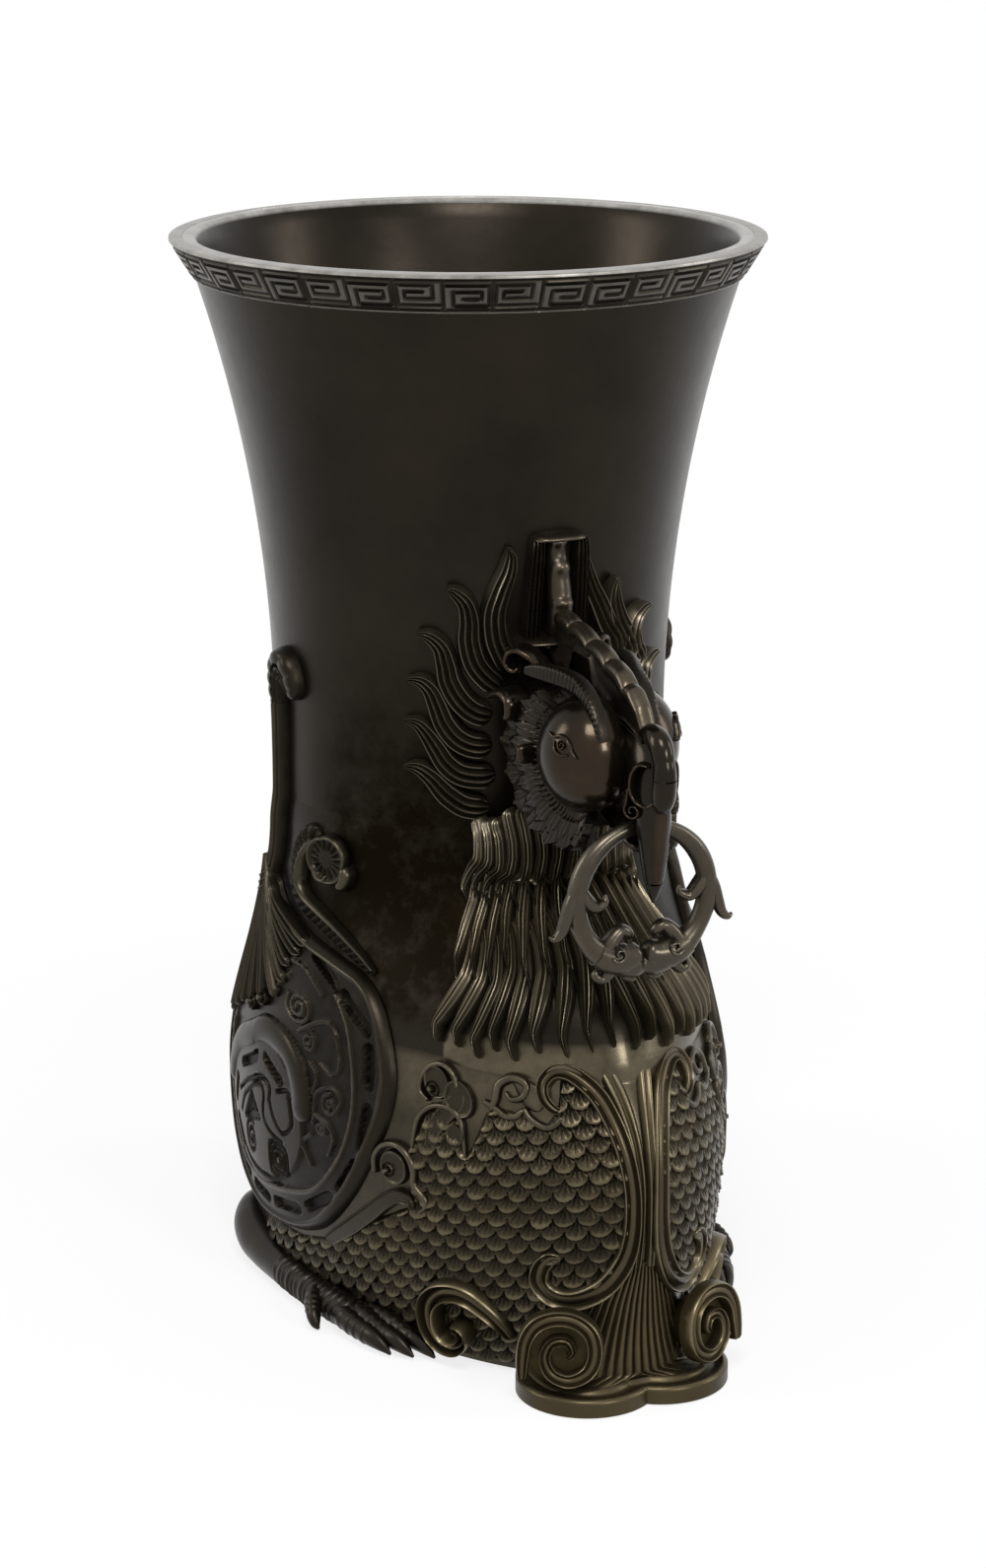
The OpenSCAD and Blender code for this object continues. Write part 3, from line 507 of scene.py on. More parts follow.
scale_w = 7.9
scale_step = 4.5
row_climb = 0.17
degree_mm = 1.5
arc_angles = np.linspace(0.0, 100.0, 401)
arc_places = skin(arc_angles, np.full(401, 60.0))
arc_run = run_along(arc_places)
scale_field = [
    (14.5, 106.0), (20.0, 106.5), (21.6, 97.5), (24.5, 92.5), (28.3, 97.0), (30.4, 95.0), (33.9, 95.5),
    (36.0, 93.0), (37.8, 86.0), (39.9, 78.0), (40.6, 88.0), (43.4, 91.5), (47.4, 88.5), (49.4, 80.0),
    (51.4, 73.0), (50.4, 62.0), (50.6, 54.0), (54.0, 49.5), (60.0, 41.0), (67.0, 30.0), (76.0, 24.0),
    (94.0, 22.0), (94.0, 0.0), (23.0, 0.0), (22.6, 20.0), (23.0, 33.0), (22.2, 34.5), (17.7, 34.7),
    (12.6, 39.1), (9.1, 45.3), (6.7, 52.3), (5.6, 59.9), (5.4, 69.4), (6.0, 78.6), (7.2, 87.1), (9.1, 94.8),
    (11.6, 101.6),
]


def inside_by(x, y, corners):
    # How far each point lies inside a closed outline; negative outside
    gap = gap_to_line(x, y, corners + corners[:1])
    crossed = np.zeros(np.shape(x), bool)
    for (ax, ay), (bx, by) in zip(corners, corners[1:] + corners[:1]):
        if ay == by:
            continue
        meets = (ay > y) != (by > y)
        crossed ^= meets & (x < (bx - ax) * (y - ay) / (by - ay) + ax)
    return np.where(crossed, gap, -gap)


def chance(row, column, kind):
    # A steady random number between -1 and 1 for each scale
    wave = np.sin(row * 12.99 + column * 78.23 + kind * 37.7) * 4375.85
    return (wave - np.floor(wave)) * 2.0 - 1.0


def scale_height(across, down):
    # Shingled plates: the lower edge of each stands over the root of the next
    best = np.zeros(np.shape(across))
    shade_and_patina = np.zeros(np.shape(across))
    first = np.floor(down / scale_step)
    for back in range(3):
        row = first - back
        shift = np.where(row % 2 == 0, 0.0, scale_w / 2.0)
        column = np.round((across - shift) / scale_w)
        side = across - shift - column * scale_w
        drop = down - row * scale_step
        bow = np.sqrt(np.clip(1.0 - (side / (scale_w * 0.5)) ** 2, 0.0, 1.0))
        edge = 4.7 + (3.2 + 0.4 * chance(row, column, 1)) * bow
        lean = side - 0.06 * chance(row, column, 2) * drop
        fan = np.arctan2(lean, drop + 0.2)
        vein = 0.5 + 0.5 * np.cos(fan * 19.0 + chance(row, column, 6))
        vein = vein * ease((0.95 - np.abs(fan)) / 0.2) * ease((edge - 0.7 - drop) / 2.6)
        tilt = 0.25 + 0.06 * chance(row, column, 3)
        rise = 0.1 + tilt * drop - 0.03 * np.abs(side) ** 1.6 + 0.05 * chance(row, column, 4) * side
        rise = rise - 0.55 * vein - 0.3 * (1.0 - ease((edge - drop) / 0.5))
        better = (drop <= edge) & (rise > best)
        # Painted shade just under the edge of the scale above, a painted highlight towards the lower edge;
        # the veins darker with patina
        shade = np.clip((drop - 2.0) / 5.4, 0.0, 1.0) + 0.12 * chance(row, column, 5) - 0.7 * vein
        shade_and_patina = np.where(better, np.clip(shade, 0.0, 1.0), shade_and_patina)
        best = np.where(better, rise, best)
    return best, shade_and_patina


def scale_patch(name, near, far, high, across_count, up_count):
    # The scales between two angles off the breast's middle, from the ground up to a height
    def shape(u, v):
        angle = near + u * (far - near)
        front = (v > 0.0) & (v <= 0.98)
        z = np.interp(v, [0.0, 0.98, 1.0], [3.0, high, 3.0])
        across = np.interp(angle, arc_angles, arc_run)
        held = inside_by(angle * degree_mm, z, [(a * degree_mm, b) for a, b in scale_field])
        rise, shade_and_patina = scale_height(across + 1.7, 140.0 - z - row_climb * across)
        rise = np.where(held > 0.0, rise * ease(held / 1.6), 0.0)
        rise = rise - 1.3 * (1.0 - ease((held + 0.4) / 0.8))
        rise = np.where(front, rise, -1.6)
        return lift(-angle, z, rise), np.where(front, shade_and_patina, 0.3)

    return close_up(cast_grid(name, across_count, up_count, shape))


def mirrored(piece, name):
    # The same casting for the bird's other side
    twin = piece.copy()
    twin.data = piece.data.copy()
    twin.name = name
    twin.data.name = name
    scene.collection.objects.link(twin)
    flat = read_points(twin)
    flat[0::3] *= -1.0
    twin.data.vertices.foreach_set("co", flat)
    twin.data.flip_normals()
    twin.data.update()
    return twin


scale_bronze = bronze(
    "scale_bronze", (0.027, 0.0215, 0.0118), (0.0085, 0.0066, 0.0024), (0.17, 0.142, 0.085), 0.31, 22.0
)
for patch_name, near_angle, far_angle, patch_top, patch_across, patch_up in (
    ("breast_scales", 0.0, 41.0, 109.0, 206, 306), ("flank_scales", 41.0, 92.0, 92.0, 232, 184),
):
    right_scales = scale_patch(
        patch_name + "_right", near_angle, far_angle, patch_top, patch_across, patch_up
    )
    left_scales = mirrored(right_scales, patch_name + "_left")
    finish_piece(right_scales, scale_bronze)
    finish_piece(left_scales, scale_bronze)

# Breast straps
# Two C-shaped straps back to back down the middle of the breast, soldered to the body.
# Each has a sunk channel between raised edges, ends in a curl above and below,
# and has a double ridge beside it that opens towards the neck.
def flow(stations, rows, face=None):
    # A smooth curve through given stations, in rows of equal run over a face or in space
    marks = np.asarray(stations, float)
    last = len(marks) - 1
    padded = np.vstack([2.0 * marks[0] - marks[1], marks, 2.0 * marks[-1] - marks[-2]])
    t = np.linspace(0.0, last, 24 * last + 1)
    i = np.minimum(t.astype(int), last - 1)
    f = (t - i)[:, None]
    a, b, c, d = padded[i], padded[i + 1], padded[i + 2], padded[i + 3]
    bend = (2 * a - 5 * b + 4 * c - d) * f**2 + (3 * b - a - 3 * c + d) * f**3
    dense = 0.5 * (2 * b + (c - a) * f + bend)
    places = dense[:, :3] if face is None else face(dense[:, 0], dense[:, 1])
    run = run_along(places)
    even = np.linspace(0.0, run[-1], rows)
    return np.stack([np.interp(even, run, dense[:, k]) for k in range(dense.shape[1])], 1)


def domed(q, fullness, softness=0.6):
    # A round-topped cross outline: one in the middle, falling to nothing at both edges
    return np.clip(1.0 - np.abs(q) ** fullness, 0.0, 1.0) ** softness


def bump(x, middle, half):
    # A smooth hump round a middle
    return np.exp(-(((x - middle) / half) ** 2))


def ridged(count, depth, fullness=3.0):
    # Cross outline of a strip with that many round ridges
    def outline(q, v):
        dome = domed(q, fullness, 0.55)
        wave = 0.5 - 0.5 * np.cos((q + 1.0) * math.pi * count)
        return dome * (1.0 - depth + depth * wave), 0.1 + 0.8 * wave * dome

    return outline


def channelled(q, v):
    # Raised round edges, a fine line beside each, and a hollow between
    dome = domed(q, 8.0)
    edge = bump(np.abs(q), 0.8, 0.17)
    line = bump(np.abs(q), 0.46, 0.1)
    middle = bump(q, 0.0, 0.26)
    height = 0.6 + 0.4 * edge - 0.2 * line + 0.14 * middle
    return dome * height, np.clip(0.3 + 0.66 * edge - 0.34 * line + 0.2 * middle, 0.0, 1.0)


def ribbon(name, stations, rows, outline, around=40, face=skin, sink=1.2):
    # A closed, round-ended strip on a face along stations of (angle, height, width, thickness, lift off)
    path = flow([tuple(s) + (0.0,) * (5 - len(s)) for s in stations], rows, face)
    spot = face(path[:, 0], path[:, 1])
    off = outward(face, path[:, 0], path[:, 1])
    run = unit(np.gradient(spot, axis=0))
    side = unit(np.cross(run, off))
    wide, thick, stand = path[:, 2], path[:, 3], path[:, 4]
    length = run_along(spot)
    left = np.minimum(length, length[-1] - length)
    near = np.clip(left / np.maximum(wide * 0.5, 0.3), 0.0, 1.0)
    round_end = np.sqrt(1.0 - (1.0 - near) ** 2)
    wide = wide * np.maximum(round_end, 0.04)
    thick = thick * np.maximum(round_end, 0.1)

    def shape(u, v):
        i = np.rint(v * (rows - 1)).astype(int)
        front = u <= 0.8001
        q = np.interp(u, [0.0, 0.8, 0.85, 0.95, 1.0], [-1.0, 1.0, 1.0, -1.0, -1.0])
        height, wear_and_shading = outline(q, v)
        wall = np.interp(u, [0.8, 0.85, 0.95, 1.0], [0.0, -sink, -sink, 0.0])
        rise = np.where(front, height * thick[i], wall) + stand[i]
        place = spot[i] + side[i] * (q * wide[i] * 0.5)[:, None] + off[i] * rise[:, None]
        return place, np.where(front, wear_and_shading, 0.1)

    return cast_grid(name, around, rows - 1, shape)


def joined(name, parts):
    # Several castings made into one closed piece
    bpy.ops.object.select_all(action="DESELECT")
    for part in parts:
        part.select_set(True)
    bpy.context.view_layer.objects.active = parts[0]
    if len(parts) > 1:
        bpy.ops.object.join()
    parts[0].name = name
    parts[0].data.name = name
    return close_up(parts[0])


def finish_pair(right, paint, node):
    # A casting on the bird's right and its mirrored twin on the left
    left = mirrored(right, node + "_left_cast")
    finish_piece(right, paint, stands_for=[node + "_right"])
    finish_piece(left, paint, stands_for=[node + "_left"])


strap_route = [
    (-20.2, 96.5, 1.8, 1.9), (-22.2, 97.2, 3.6, 2.3), (-23.7, 100.0, 4.4, 2.7), (-23.5, 104.0, 5.0, 2.8),
    (-21.2, 107.3, 5.4, 3.0), (-18.3, 108.0, 5.8, 3.1), (-15.2, 106.2, 6.2, 3.1), (-11.6, 101.6, 6.6, 3.1),
    (-9.1, 94.8, 6.6, 3.1), (-7.2, 87.1, 6.4, 3.1), (-6.0, 78.6, 6.2, 3.1), (-5.4, 69.4, 6.2, 3.3),
    (-5.6, 59.9, 6.6, 3.6), (-6.7, 52.3, 7.2, 3.9), (-9.1, 45.3, 7.8, 3.9), (-12.6, 39.1, 8.2, 3.9),
    (-17.7, 34.7, 8.4, 3.9), (-22.2, 34.5, 8.2, 3.7), (-25.3, 38.6, 7.6, 3.6), (-25.5, 43.9, 7.0, 3.4),
    (-24.0, 48.2, 5.6, 3.1), (-21.6, 49.0, 2.6, 2.3),
]
middle_route = [
    (-3.1, 45.7, 3.2, 2.1), (-2.6, 61.2, 3.4, 2.1), (-2.7, 75.7, 3.8, 2.1), (-3.4, 88.1, 4.6, 2.1),
    (-4.9, 97.8, 5.6, 2.0), (-6.9, 105.7, 6.0, 1.7), (-8.7, 111.7, 5.0, 1.1),
]
strap_bronze = bronze(
    "strap_bronze", (0.056, 0.046, 0.0275), (0.034, 0.027, 0.009), (0.24, 0.205, 0.13), 0.28, 24.0
)
breast_strap_right = joined("breast_strap_right_cast", [
    ribbon("strap", strap_route, 230, channelled, 50),
    ribbon("strap", middle_route, 130, ridged(2, 0.45, 5.0), 30),
])
finish_pair(breast_strap_right, strap_bronze, "breast_strap")

# Cloud scrolls
# The cloud-shaped lower edge of the shoulder, a soft moulding with curled eyes,
# soldered to the body; the hooked band with a round boss joins it to the wing.
def rounded(q, v):
    # A plain round moulding
    dome = domed(q, 2.4)
    return dome, 0.2 + 0.7 * dome


def plated(q, v):
    # A flat plate with a round rim along both edges
    dome = domed(q, 10.0)
    rim = bump(np.abs(q), 0.8, 0.15)
    return dome * (0.6 + 0.4 * rim), np.clip(0.34 + 0.5 * rim, 0.0, 1.0)


def boss(name, angle, height, radius, rows, outline, around=60, face=skin, sink=1.2, edge=None, taper=1.0):
    # A round or lobed plaque on a face; outline(k, turn) gives its height and wear,
    # taper the size of its sunk back
    degree_run = float(np.linalg.norm(face(angle + 0.5, height) - face(angle - 0.5, height)))

    def shape(u, v):
        turn = u * 2.0 * math.pi
        front = v <= 0.9001
        k = np.where(front, v / 0.9, (1.0 - v) / 0.1)
        reach_out = radius * (edge(turn) if edge else 1.0) * np.where(front, 1.0, taper)
        x = k * reach_out * np.cos(turn)
        y = k * reach_out * np.sin(turn)
        rise, wear_and_shading = outline(k, turn)
        a = angle + x / degree_run
        z = height + y
        rise = np.where(front, rise, -sink)
        place = face(a, z) + outward(face, a, z) * rise[:, None]
        return place, np.where(front, wear_and_shading, 0.1)

    return cast_grid(name, around, rows, shape)


def eye_boss(k, turn):
    # A round pupil in a ring
    ring = bump(k, 0.8, 0.14)
    pupil = ease((0.5 - k) / 0.25)
    height = 1.6 * ring + 3.0 * pupil + 0.8 - 0.8 * ease((k - 0.9) / 0.1)
    return height, np.clip(0.2 + 0.5 * ring + 0.7 * pupil, 0.0, 1.0)


def low_plate(k, turn):
    # A low round plateau with a thin raised rim
    rim = bump(k, 0.86, 0.09)
    return 1.5 + 0.6 * rim - 2.2 * ease((k - 0.9) / 0.1), 0.32 + 0.55 * rim


cloud_parts = [
    ribbon("cloud", [
        (-46.6, 75.7, 4.0, 1.2), (-45.6, 83.0, 6.4, 1.5), (-43.4, 89.0, 7.4, 1.7), (-41.0, 94.0, 7.4, 1.8),
        (-40.6, 98.0, 5.0, 1.6),
    ], 90, plated, 40),
    ribbon("cloud", [
        (-49.8, 74.8, 1.6, 1.5), (-48.6, 84.8, 2.2, 2.0), (-46.5, 89.7, 2.4, 2.1), (-44.1, 91.6, 2.4, 2.1),
        (-41.6, 91.1, 2.4, 2.1), (-40.4, 88.1, 2.2, 2.0), (-40.1, 82.7, 1.8, 1.7), (-39.9, 76.6, 1.2, 1.3),
    ], 100, rounded, 20),
    ribbon("cloud", [
        (-40.6, 97.8, 1.8, 2.0), (-41.0, 102.0, 2.4, 2.4), (-42.9, 104.4, 2.6, 2.5), (-45.3, 103.1, 2.6, 2.5),
        (-47.2, 99.1, 2.6, 2.5), (-47.7, 94.7, 2.4, 2.4), (-46.2, 92.1, 1.8, 2.1),
    ], 80, rounded, 20),
    ribbon("cloud", [
        (-34.8, 93.3, 2.6, 1.6), (-33.7, 97.2, 3.2, 2.0), (-32.5, 102.1, 3.4, 2.1), (-29.6, 104.6, 3.4, 2.1),
        (-27.2, 103.2, 3.2, 2.1), (-28.0, 99.7, 2.8, 2.0), (-30.4, 98.3, 2.2, 2.0), (-31.5, 100.3, 1.4, 1.7),
    ], 90, rounded, 20),
    ribbon("cloud", [
        (-36.0, 96.3, 2.0, 1.6), (-33.9, 94.7, 2.6, 1.8), (-32.0, 92.9, 2.8, 1.8), (-29.8, 93.6, 2.8, 1.8),
        (-28.3, 96.1, 2.0, 1.6),
    ], 50, rounded, 20),
    ribbon("cloud", [
        (-28.3, 96.5, 2.0, 1.6), (-27.1, 93.2, 2.8, 1.8), (-24.5, 91.4, 2.8, 1.8), (-22.2, 92.7, 2.6, 1.8),
        (-20.5, 95.4, 1.8, 1.6),
    ], 50, rounded, 20),
    ribbon("cloud", [
        (-30.2, 106.0, 1.6, 0.8), (-26.4, 100.0, 8.0, 1.2), (-25.2, 96.0, 5.0, 1.2),
    ], 40, rounded, 24),
    ribbon("cloud", [
        (-68.9, 26.6, 5.0, 1.3), (-62.6, 37.5, 6.6, 2.1), (-58.1, 46.3, 6.8, 2.5), (-54.9, 52.9, 6.2, 2.8),
        (-52.3, 56.8, 5.0, 2.9), (-50.0, 56.8, 4.0, 2.9), (-49.3, 53.3, 2.4, 2.2),
    ], 110, plated, 36),
    ribbon("cloud", [
        (-56.8, 61.7, 2.0, 2.2), (-56.8, 67.8, 2.6, 2.5), (-55.2, 72.7, 2.8, 2.6), (-52.7, 74.6, 2.8, 2.6),
        (-50.5, 72.5, 2.8, 2.6), (-49.3, 67.8, 2.8, 2.6), (-49.2, 62.9, 2.8, 2.6), (-47.5, 59.4, 2.6, 2.5),
        (-47.0, 56.4, 2.2, 2.1), (-48.5, 53.0, 1.4, 1.6),
    ], 110, rounded, 20),
    boss("cloud", -53.0, 66.4, 6.4, 24, low_plate, 60),
    boss("cloud", -44.4, 98.6, 5.4, 24, low_plate, 60),
    boss("cloud", -40.4, 95.0, 6.2, 24, low_plate, 60),
    boss("cloud", -41.4, 83.6, 3.6, 20, low_plate, 50),
    boss("cloud", -45.2, 96.3, 2.8, 14, eye_boss, 40),
    boss("cloud", -54.0, 65.1, 2.8, 14, eye_boss, 40),
]
cloud_bronze = bronze(
    "cloud_bronze", (0.024, 0.02, 0.0128), (0.019, 0.0152, 0.0066), (0.14, 0.118, 0.078), 0.3, 24.0
)
cloud_scroll_right = joined("cloud_scroll_right_cast", cloud_parts)
finish_pair(cloud_scroll_right, cloud_bronze, "cloud_scroll")

# Chest foot
# The third foot of the vessel: the straps run down into a fluted fan that spreads
# to a two-lobed, double-edged plate on the ground, with a volute rolled up on each lobe.
lobe_r = 23.0
lobe_x = 13.0
lobe_y = 127.0
fan_top = 48.0
notch_angle = math.degrees(math.acos(-lobe_x / lobe_r))
foot_rim = (
    (0.0, 0.0), (0.0, 4.8), (0.6, 5.6), (1.6, 5.9), (2.6, 5.3), (4.4, 4.7), (6.0, 5.0), (7.0, 6.2),
    (7.9, 6.6), (8.8, 5.4),
)
foot_fan = (
    (22.4, 140.2, 10.0, 8.0), (21.0, 139.6, 9.0, 12.5), (19.0, 139.2, 8.0, 18.0), (16.6, 139.4, 7.0, 25.0),
    (13.8, 140.2, 5.6, 33.0), (10.6, 141.6, 4.4, 41.0), (7.4, 142.6, 3.0, 48.0),
)


def skin_y(x, z):
    # The breast's y at a distance from its middle line
    power = chest_power(z)
    share = np.minimum(1.0, np.abs(x) / reach(z, body_half_w, side_tuck))
    chest = reach(z, chest_reach, chest_tuck, chest_fullness)
    return -chest * (1.0 - share**power) ** (1.0 / power)


def foot_shape(u, v):
    # From the ground over the double rim, up the fluted fan and down behind it
    across = u * 2.0 - 1.0
    hand = np.where(across < 0.0, -1.0, 1.0)
    s = np.abs(across)
    turn = np.radians(notch_angle - (notch_angle + 40.0) * s)
    stations = []
    for inset, z in foot_rim:
        away = lobe_r - inset
        stations.append((lobe_x + away * np.cos(turn), lobe_y + away * np.sin(turn), z + 0.0 * s))
    for half, forward, bow, z in foot_fan:
        stations.append((half * s, forward - bow * s * s, z + 0.0 * s))
    for k in range(8):
        z = fan_top * (1.0 - k / 7.0)
        x = (7.0 + 20.0 * k / 7.0) * s
        stations.append((x, -skin_y(x, z + 0.0 * s) - 0.8, z + 0.0 * s))
    stations.append(stations[0])
    stations = np.array(stations)
    spans = np.concatenate([
        [0.0, 5.0, 6.0, 7.2, 8.4, 10.2, 12.0, 13.4, 14.6, 16.0], [18.5, 22.0, 26.0, 31.0, 37.0, 43.0, 48.0],
        [51.0, 53.0, 55.0, 57.0, 59.0, 61.0, 63.0, 65.0, 69.0],
    ])
    at = v * spans[-1]
    i = np.clip(np.searchsorted(spans, at, side="right") - 1, 0, len(spans) - 2)
    f = (at - spans[i]) / (spans[i + 1] - spans[i])
    rows = np.arange(len(u))
    low, high = stations[i, :, rows], stations[i + 1, :, rows]
    place = low + (high - low) * f[:, None]
    fan = ease((at - 16.0) / 3.0) * ease((48.5 - at) / 2.0)
    flutes = np.abs(np.cos(across * math.pi * 7.0)) ** 0.5
    dip = 1.6 * fan * (1.0 - flutes)
    place[:, 1] -= dip
    place = np.stack([hand * place[:, 0], -place[:, 1] + 0.0, place[:, 2]], 1)
    rim = bump(at, 6.8, 1.2) + bump(at, 14.2, 1.0)
    wear_and_shading = np.clip(0.36 + 0.55 * rim + fan * (0.6 * flutes - 0.3), 0.0, 1.0)
    return place, wear_and_shading


def volute_back(k, turn):
    # The hollow ground behind the volute, with a low rim
    height = -1.8 + 1.6 * ease((k - 0.8) / 0.14) - 0.6 * ease((k - 0.94) / 0.06)
    return height, 0.04 + 0.3 * ease((k - 0.8) / 0.1)


def volute_face(a, z):
    # The upright round face of a foot volute, turned half to the side
    a, z = np.broadcast_arrays(np.asarray(a, float), np.asarray(z, float))
    right, up = np.array((0.89, -0.455, 0.0)), np.array((0.055, 0.107, 0.993))
    return np.array((-26.8, -137.6, 19.8)) + a[..., None] * right + z[..., None] * up


foot_bronze = bronze(
    "foot_bronze", (0.06, 0.0485, 0.0265), (0.03, 0.023, 0.0066), (0.26, 0.216, 0.13), 0.33, 22.0
)
volute_route = [
    (-12.6, -9.6, 3.2, 1.6), (-12.4, -3.0, 4.6, 2.2), (-11.4, 3.6, 5.2, 2.6), (-8.0, 8.8, 5.6, 2.8),
    (-2.0, 11.2, 5.6, 2.8), (4.6, 10.4, 5.6, 2.8), (9.6, 6.2, 5.6, 2.8), (11.0, -0.4, 5.6, 2.8),
    (8.8, -6.4, 5.4, 2.8), (3.0, -9.4, 5.0, 2.8), (-2.8, -7.4, 4.6, 2.8), (-5.2, -2.0, 4.2, 2.8),
    (-3.0, 3.0, 3.8, 2.8), (1.8, 3.6, 3.4, 2.8), (3.8, 0.2, 2.8, 2.6), (2.0, -2.2, 1.8, 2.2),
]
volute_right = joined("volute_right", [
    ribbon("volute", volute_route, 210, channelled, 44, volute_face, 2.6),
    boss("volute", 0.0, 0.0, 13.4, 24, volute_back, 80, volute_face, 15.0, None, 0.5),
])
volute_left = mirrored(volute_right, "volute_left")
foot_parts = [cast_grid("foot", 250, 126, foot_shape), volute_right, volute_left]
chest_foot = joined("chest_foot_cast", foot_parts)
finish_piece(chest_foot, foot_bronze, stands_for=["chest_foot"])

# Base scrolls
# A thick rolled scroll on each side of the chest foot, which helps to carry the breast.
# It leaves the body as a low strap and winds in to an eye that stands out.
scroll_route = [
    (-29.5, 13.9, 3.0, 2.6), (-31.9, 19.6, 6.0, 4.0), (-35.2, 25.0, 7.4, 5.0), (-38.3, 28.6, 8.0, 5.8),
    (-41.0, 29.4, 8.0, 6.4), (-43.6, 27.6, 8.0, 7.2), (-45.2, 22.6, 8.0, 8.0), (-44.8, 15.4, 7.6, 8.6),
    (-42.8, 10.0, 7.0, 9.0), (-39.8, 9.0, 6.0, 9.4), (-37.8, 12.6, 4.6, 9.4), (-38.6, 16.6, 3.6, 9.0),
    (-40.6, 17.2, 2.2, 8.4),
]
base_scroll_right = joined("base_scroll_right_cast", [ribbon("scroll", scroll_route, 150, channelled, 40)])
finish_pair(base_scroll_right, foot_bronze, "base_scroll")

# Wings
# The folded wings, raised plaques on the flanks: a rounded rim, a border of sunk cells, a field
# of scrolls and an arched disc; ribbed feathers draw together into the stem of the tall plume.
wing_mid = (-85.0, 67.0)
flank = 2.1
wing_corners = np.array([
    (-52.5, 98.6), (-54.4, 116.0), (-58.0, 124.5), (-65.0, 128.6), (-73.0, 131.8), (-80.5, 136.0),
    (-87.5, 142.0), (-93.5, 146.0), (-98.0, 139.0), (-102.5, 123.0), (-106.5, 104.0), (-109.5, 84.0),
    (-110.5, 64.0), (-108.5, 47.0), (-104.0, 35.5), (-98.0, 28.4), (-91.0, 24.4), (-82.0, 24.0),
    (-74.0, 26.6), (-67.5, 34.0), (-61.3, 49.8), (-56.4, 69.4), (-53.4, 85.0),
], float)


def loop_flow(corners, share):
    # Places along a smooth closed curve through the corners
    count = len(corners)
    at = share * count
    i = np.floor(at).astype(int) % count
    f = (at - np.floor(at))[:, None]
    a, b, c, d = (corners[(i + k) % count] for k in (-1, 0, 1, 2))
    bend = (2 * a - 5 * b + 4 * c - d) * f**2 + (3 * b - a - 3 * c + d) * f**3
    return 0.5 * (2 * b + (c - a) * f + bend)


def winding(middle, big, small, turns, start, hand, flat=1.0):
    # A spiral line round a middle, with its height flattened by a share
    marks = []
    for k in range(41):
        t = k / 40.0
        turn = math.radians(start) + hand * turns * 2.0 * math.pi * t
        r = big + (small - big) * t
        marks.append((middle[0] + r * math.cos(turn), middle[1] + r * flat * math.sin(turn)))
    return marks


def boxes(middle, sizes):
    # Rounded squares one inside the other, as closed lines
    made = []
    for half in sizes:
        loop = []
        for k in range(33):
            turn = k / 32.0 * 2.0 * math.pi
            c, s = math.cos(turn), math.sin(turn)
            grow = half / (abs(c) ** 4 + abs(s) ** 4) ** 0.25
            loop.append((middle[0] + grow * c, middle[1] + grow * s))
        made.append(loop)
    return made


def smooth(marks):
    # A rounded line through a few marks
    path = flow([(x, y, 0.0) for x, y in marks], 12 * len(marks))
    return [(float(x), float(y)) for x, y, _ in path]


def nearest_gap(x, y, lines):
    # Distance of each point from the nearest of several lines
    gap = np.full(np.shape(x), 9.0)
    for line in lines:
        gap = np.minimum(gap, gap_to_line(x, y, line))
    return gap


edge_dense = loop_flow(wing_corners, np.linspace(0.0, 1.0, 400, endpoint=False))
edge_mm = (edge_dense - wing_mid) * [flank, 1.0]
edge_closed = np.vstack([edge_mm, edge_mm[:1]])
edge_run = np.concatenate([[0.0], np.cumsum(np.hypot(*np.diff(edge_closed, axis=0).T))])
edge_loop = [tuple(row) for row in edge_mm[::3]]
inner_ridge = smooth([
    (24.0, 64.5), (35.0, 57.5), (43.0, 49.0), (48.5, 41.0), (51.0, 31.5), (52.0, 20.0), (50.5, 9.0),
    (45.5, -3.5), (37.0, -15.5), (27.5, -22.5), (11.5, -27.0), (-7.0, -29.0), (-24.5, -26.0),
    (-34.0, -19.0), (-40.0, -8.0), (-42.5, 6.0), (-41.0, 20.0),
])
field_edge = inner_ridge + [(-32.0, 52.0), (-12.0, 78.0)]
deep_cells = [[(30.5, 58.5), (43.0, 52.0)], [(47.5, 49.0), (57.5, 41.5)], [(58.8, 35.0), (58.4, 25.0)]]
low_cells = [
    [(58.0, 16.5), (55.5, 3.0)], [(52.5, -4.0), (45.5, -15.0)], [(40.0, -20.0), (29.0, -27.5)],
    [(22.0, -31.0), (7.0, -33.5)], [(0.0, -34.0), (-15.0, -33.0)], [(-23.0, -31.0), (-33.0, -25.0)],
    [(-40.0, -18.0), (-46.0, -8.0)], [(-47.6, 0.0), (-47.8, 12.0)],
]
disc_arch = smooth([
    (-40.0, 2.0), (-35.0, 10.0), (-27.0, 17.0), (-16.0, 21.5), (-4.0, 26.0), (6.0, 27.0), (16.0, 25.0),
    (22.5, 20.0), (26.0, 12.5), (26.4, 7.0),
])
disc_cells = [
    [(-22.0, 9.5), (-5.0, 16.5)], [(3.0, 17.5), (14.5, 12.5)], [(-30.0, 2.0), (-33.0, -6.0)],
    [(-31.0, -13.0), (-25.0, -20.0)],
]
disc_lines = [
    smooth([
        (-26.0, -1.0), (-13.5, 6.0), (1.0, 10.0), (7.0, 8.5), (7.0, 3.5), (10.5, -2.5), (16.0, -5.5),
        (21.5, -0.5), (20.5, 7.0), (19.0, 10.5), (12.5, 8.5),
    ]),
    smooth([(-25.0, -8.5), (-18.5, -0.5), (-4.0, 7.0), (2.0, 5.5), (1.5, -3.0), (6.5, -7.5), (15.0, -9.0)]),
    smooth([(-28.0, -17.0), (-18.0, -23.5), (-4.0, -25.5), (12.0, -24.0), (24.0, -19.0), (30.0, -11.0)]),
    winding((-13.0, -15.0), 6.5, 1.0, 1.9, 60.0, 1.0),
] + boxes((12.0, -16.6), (6.2, 4.2, 2.0))
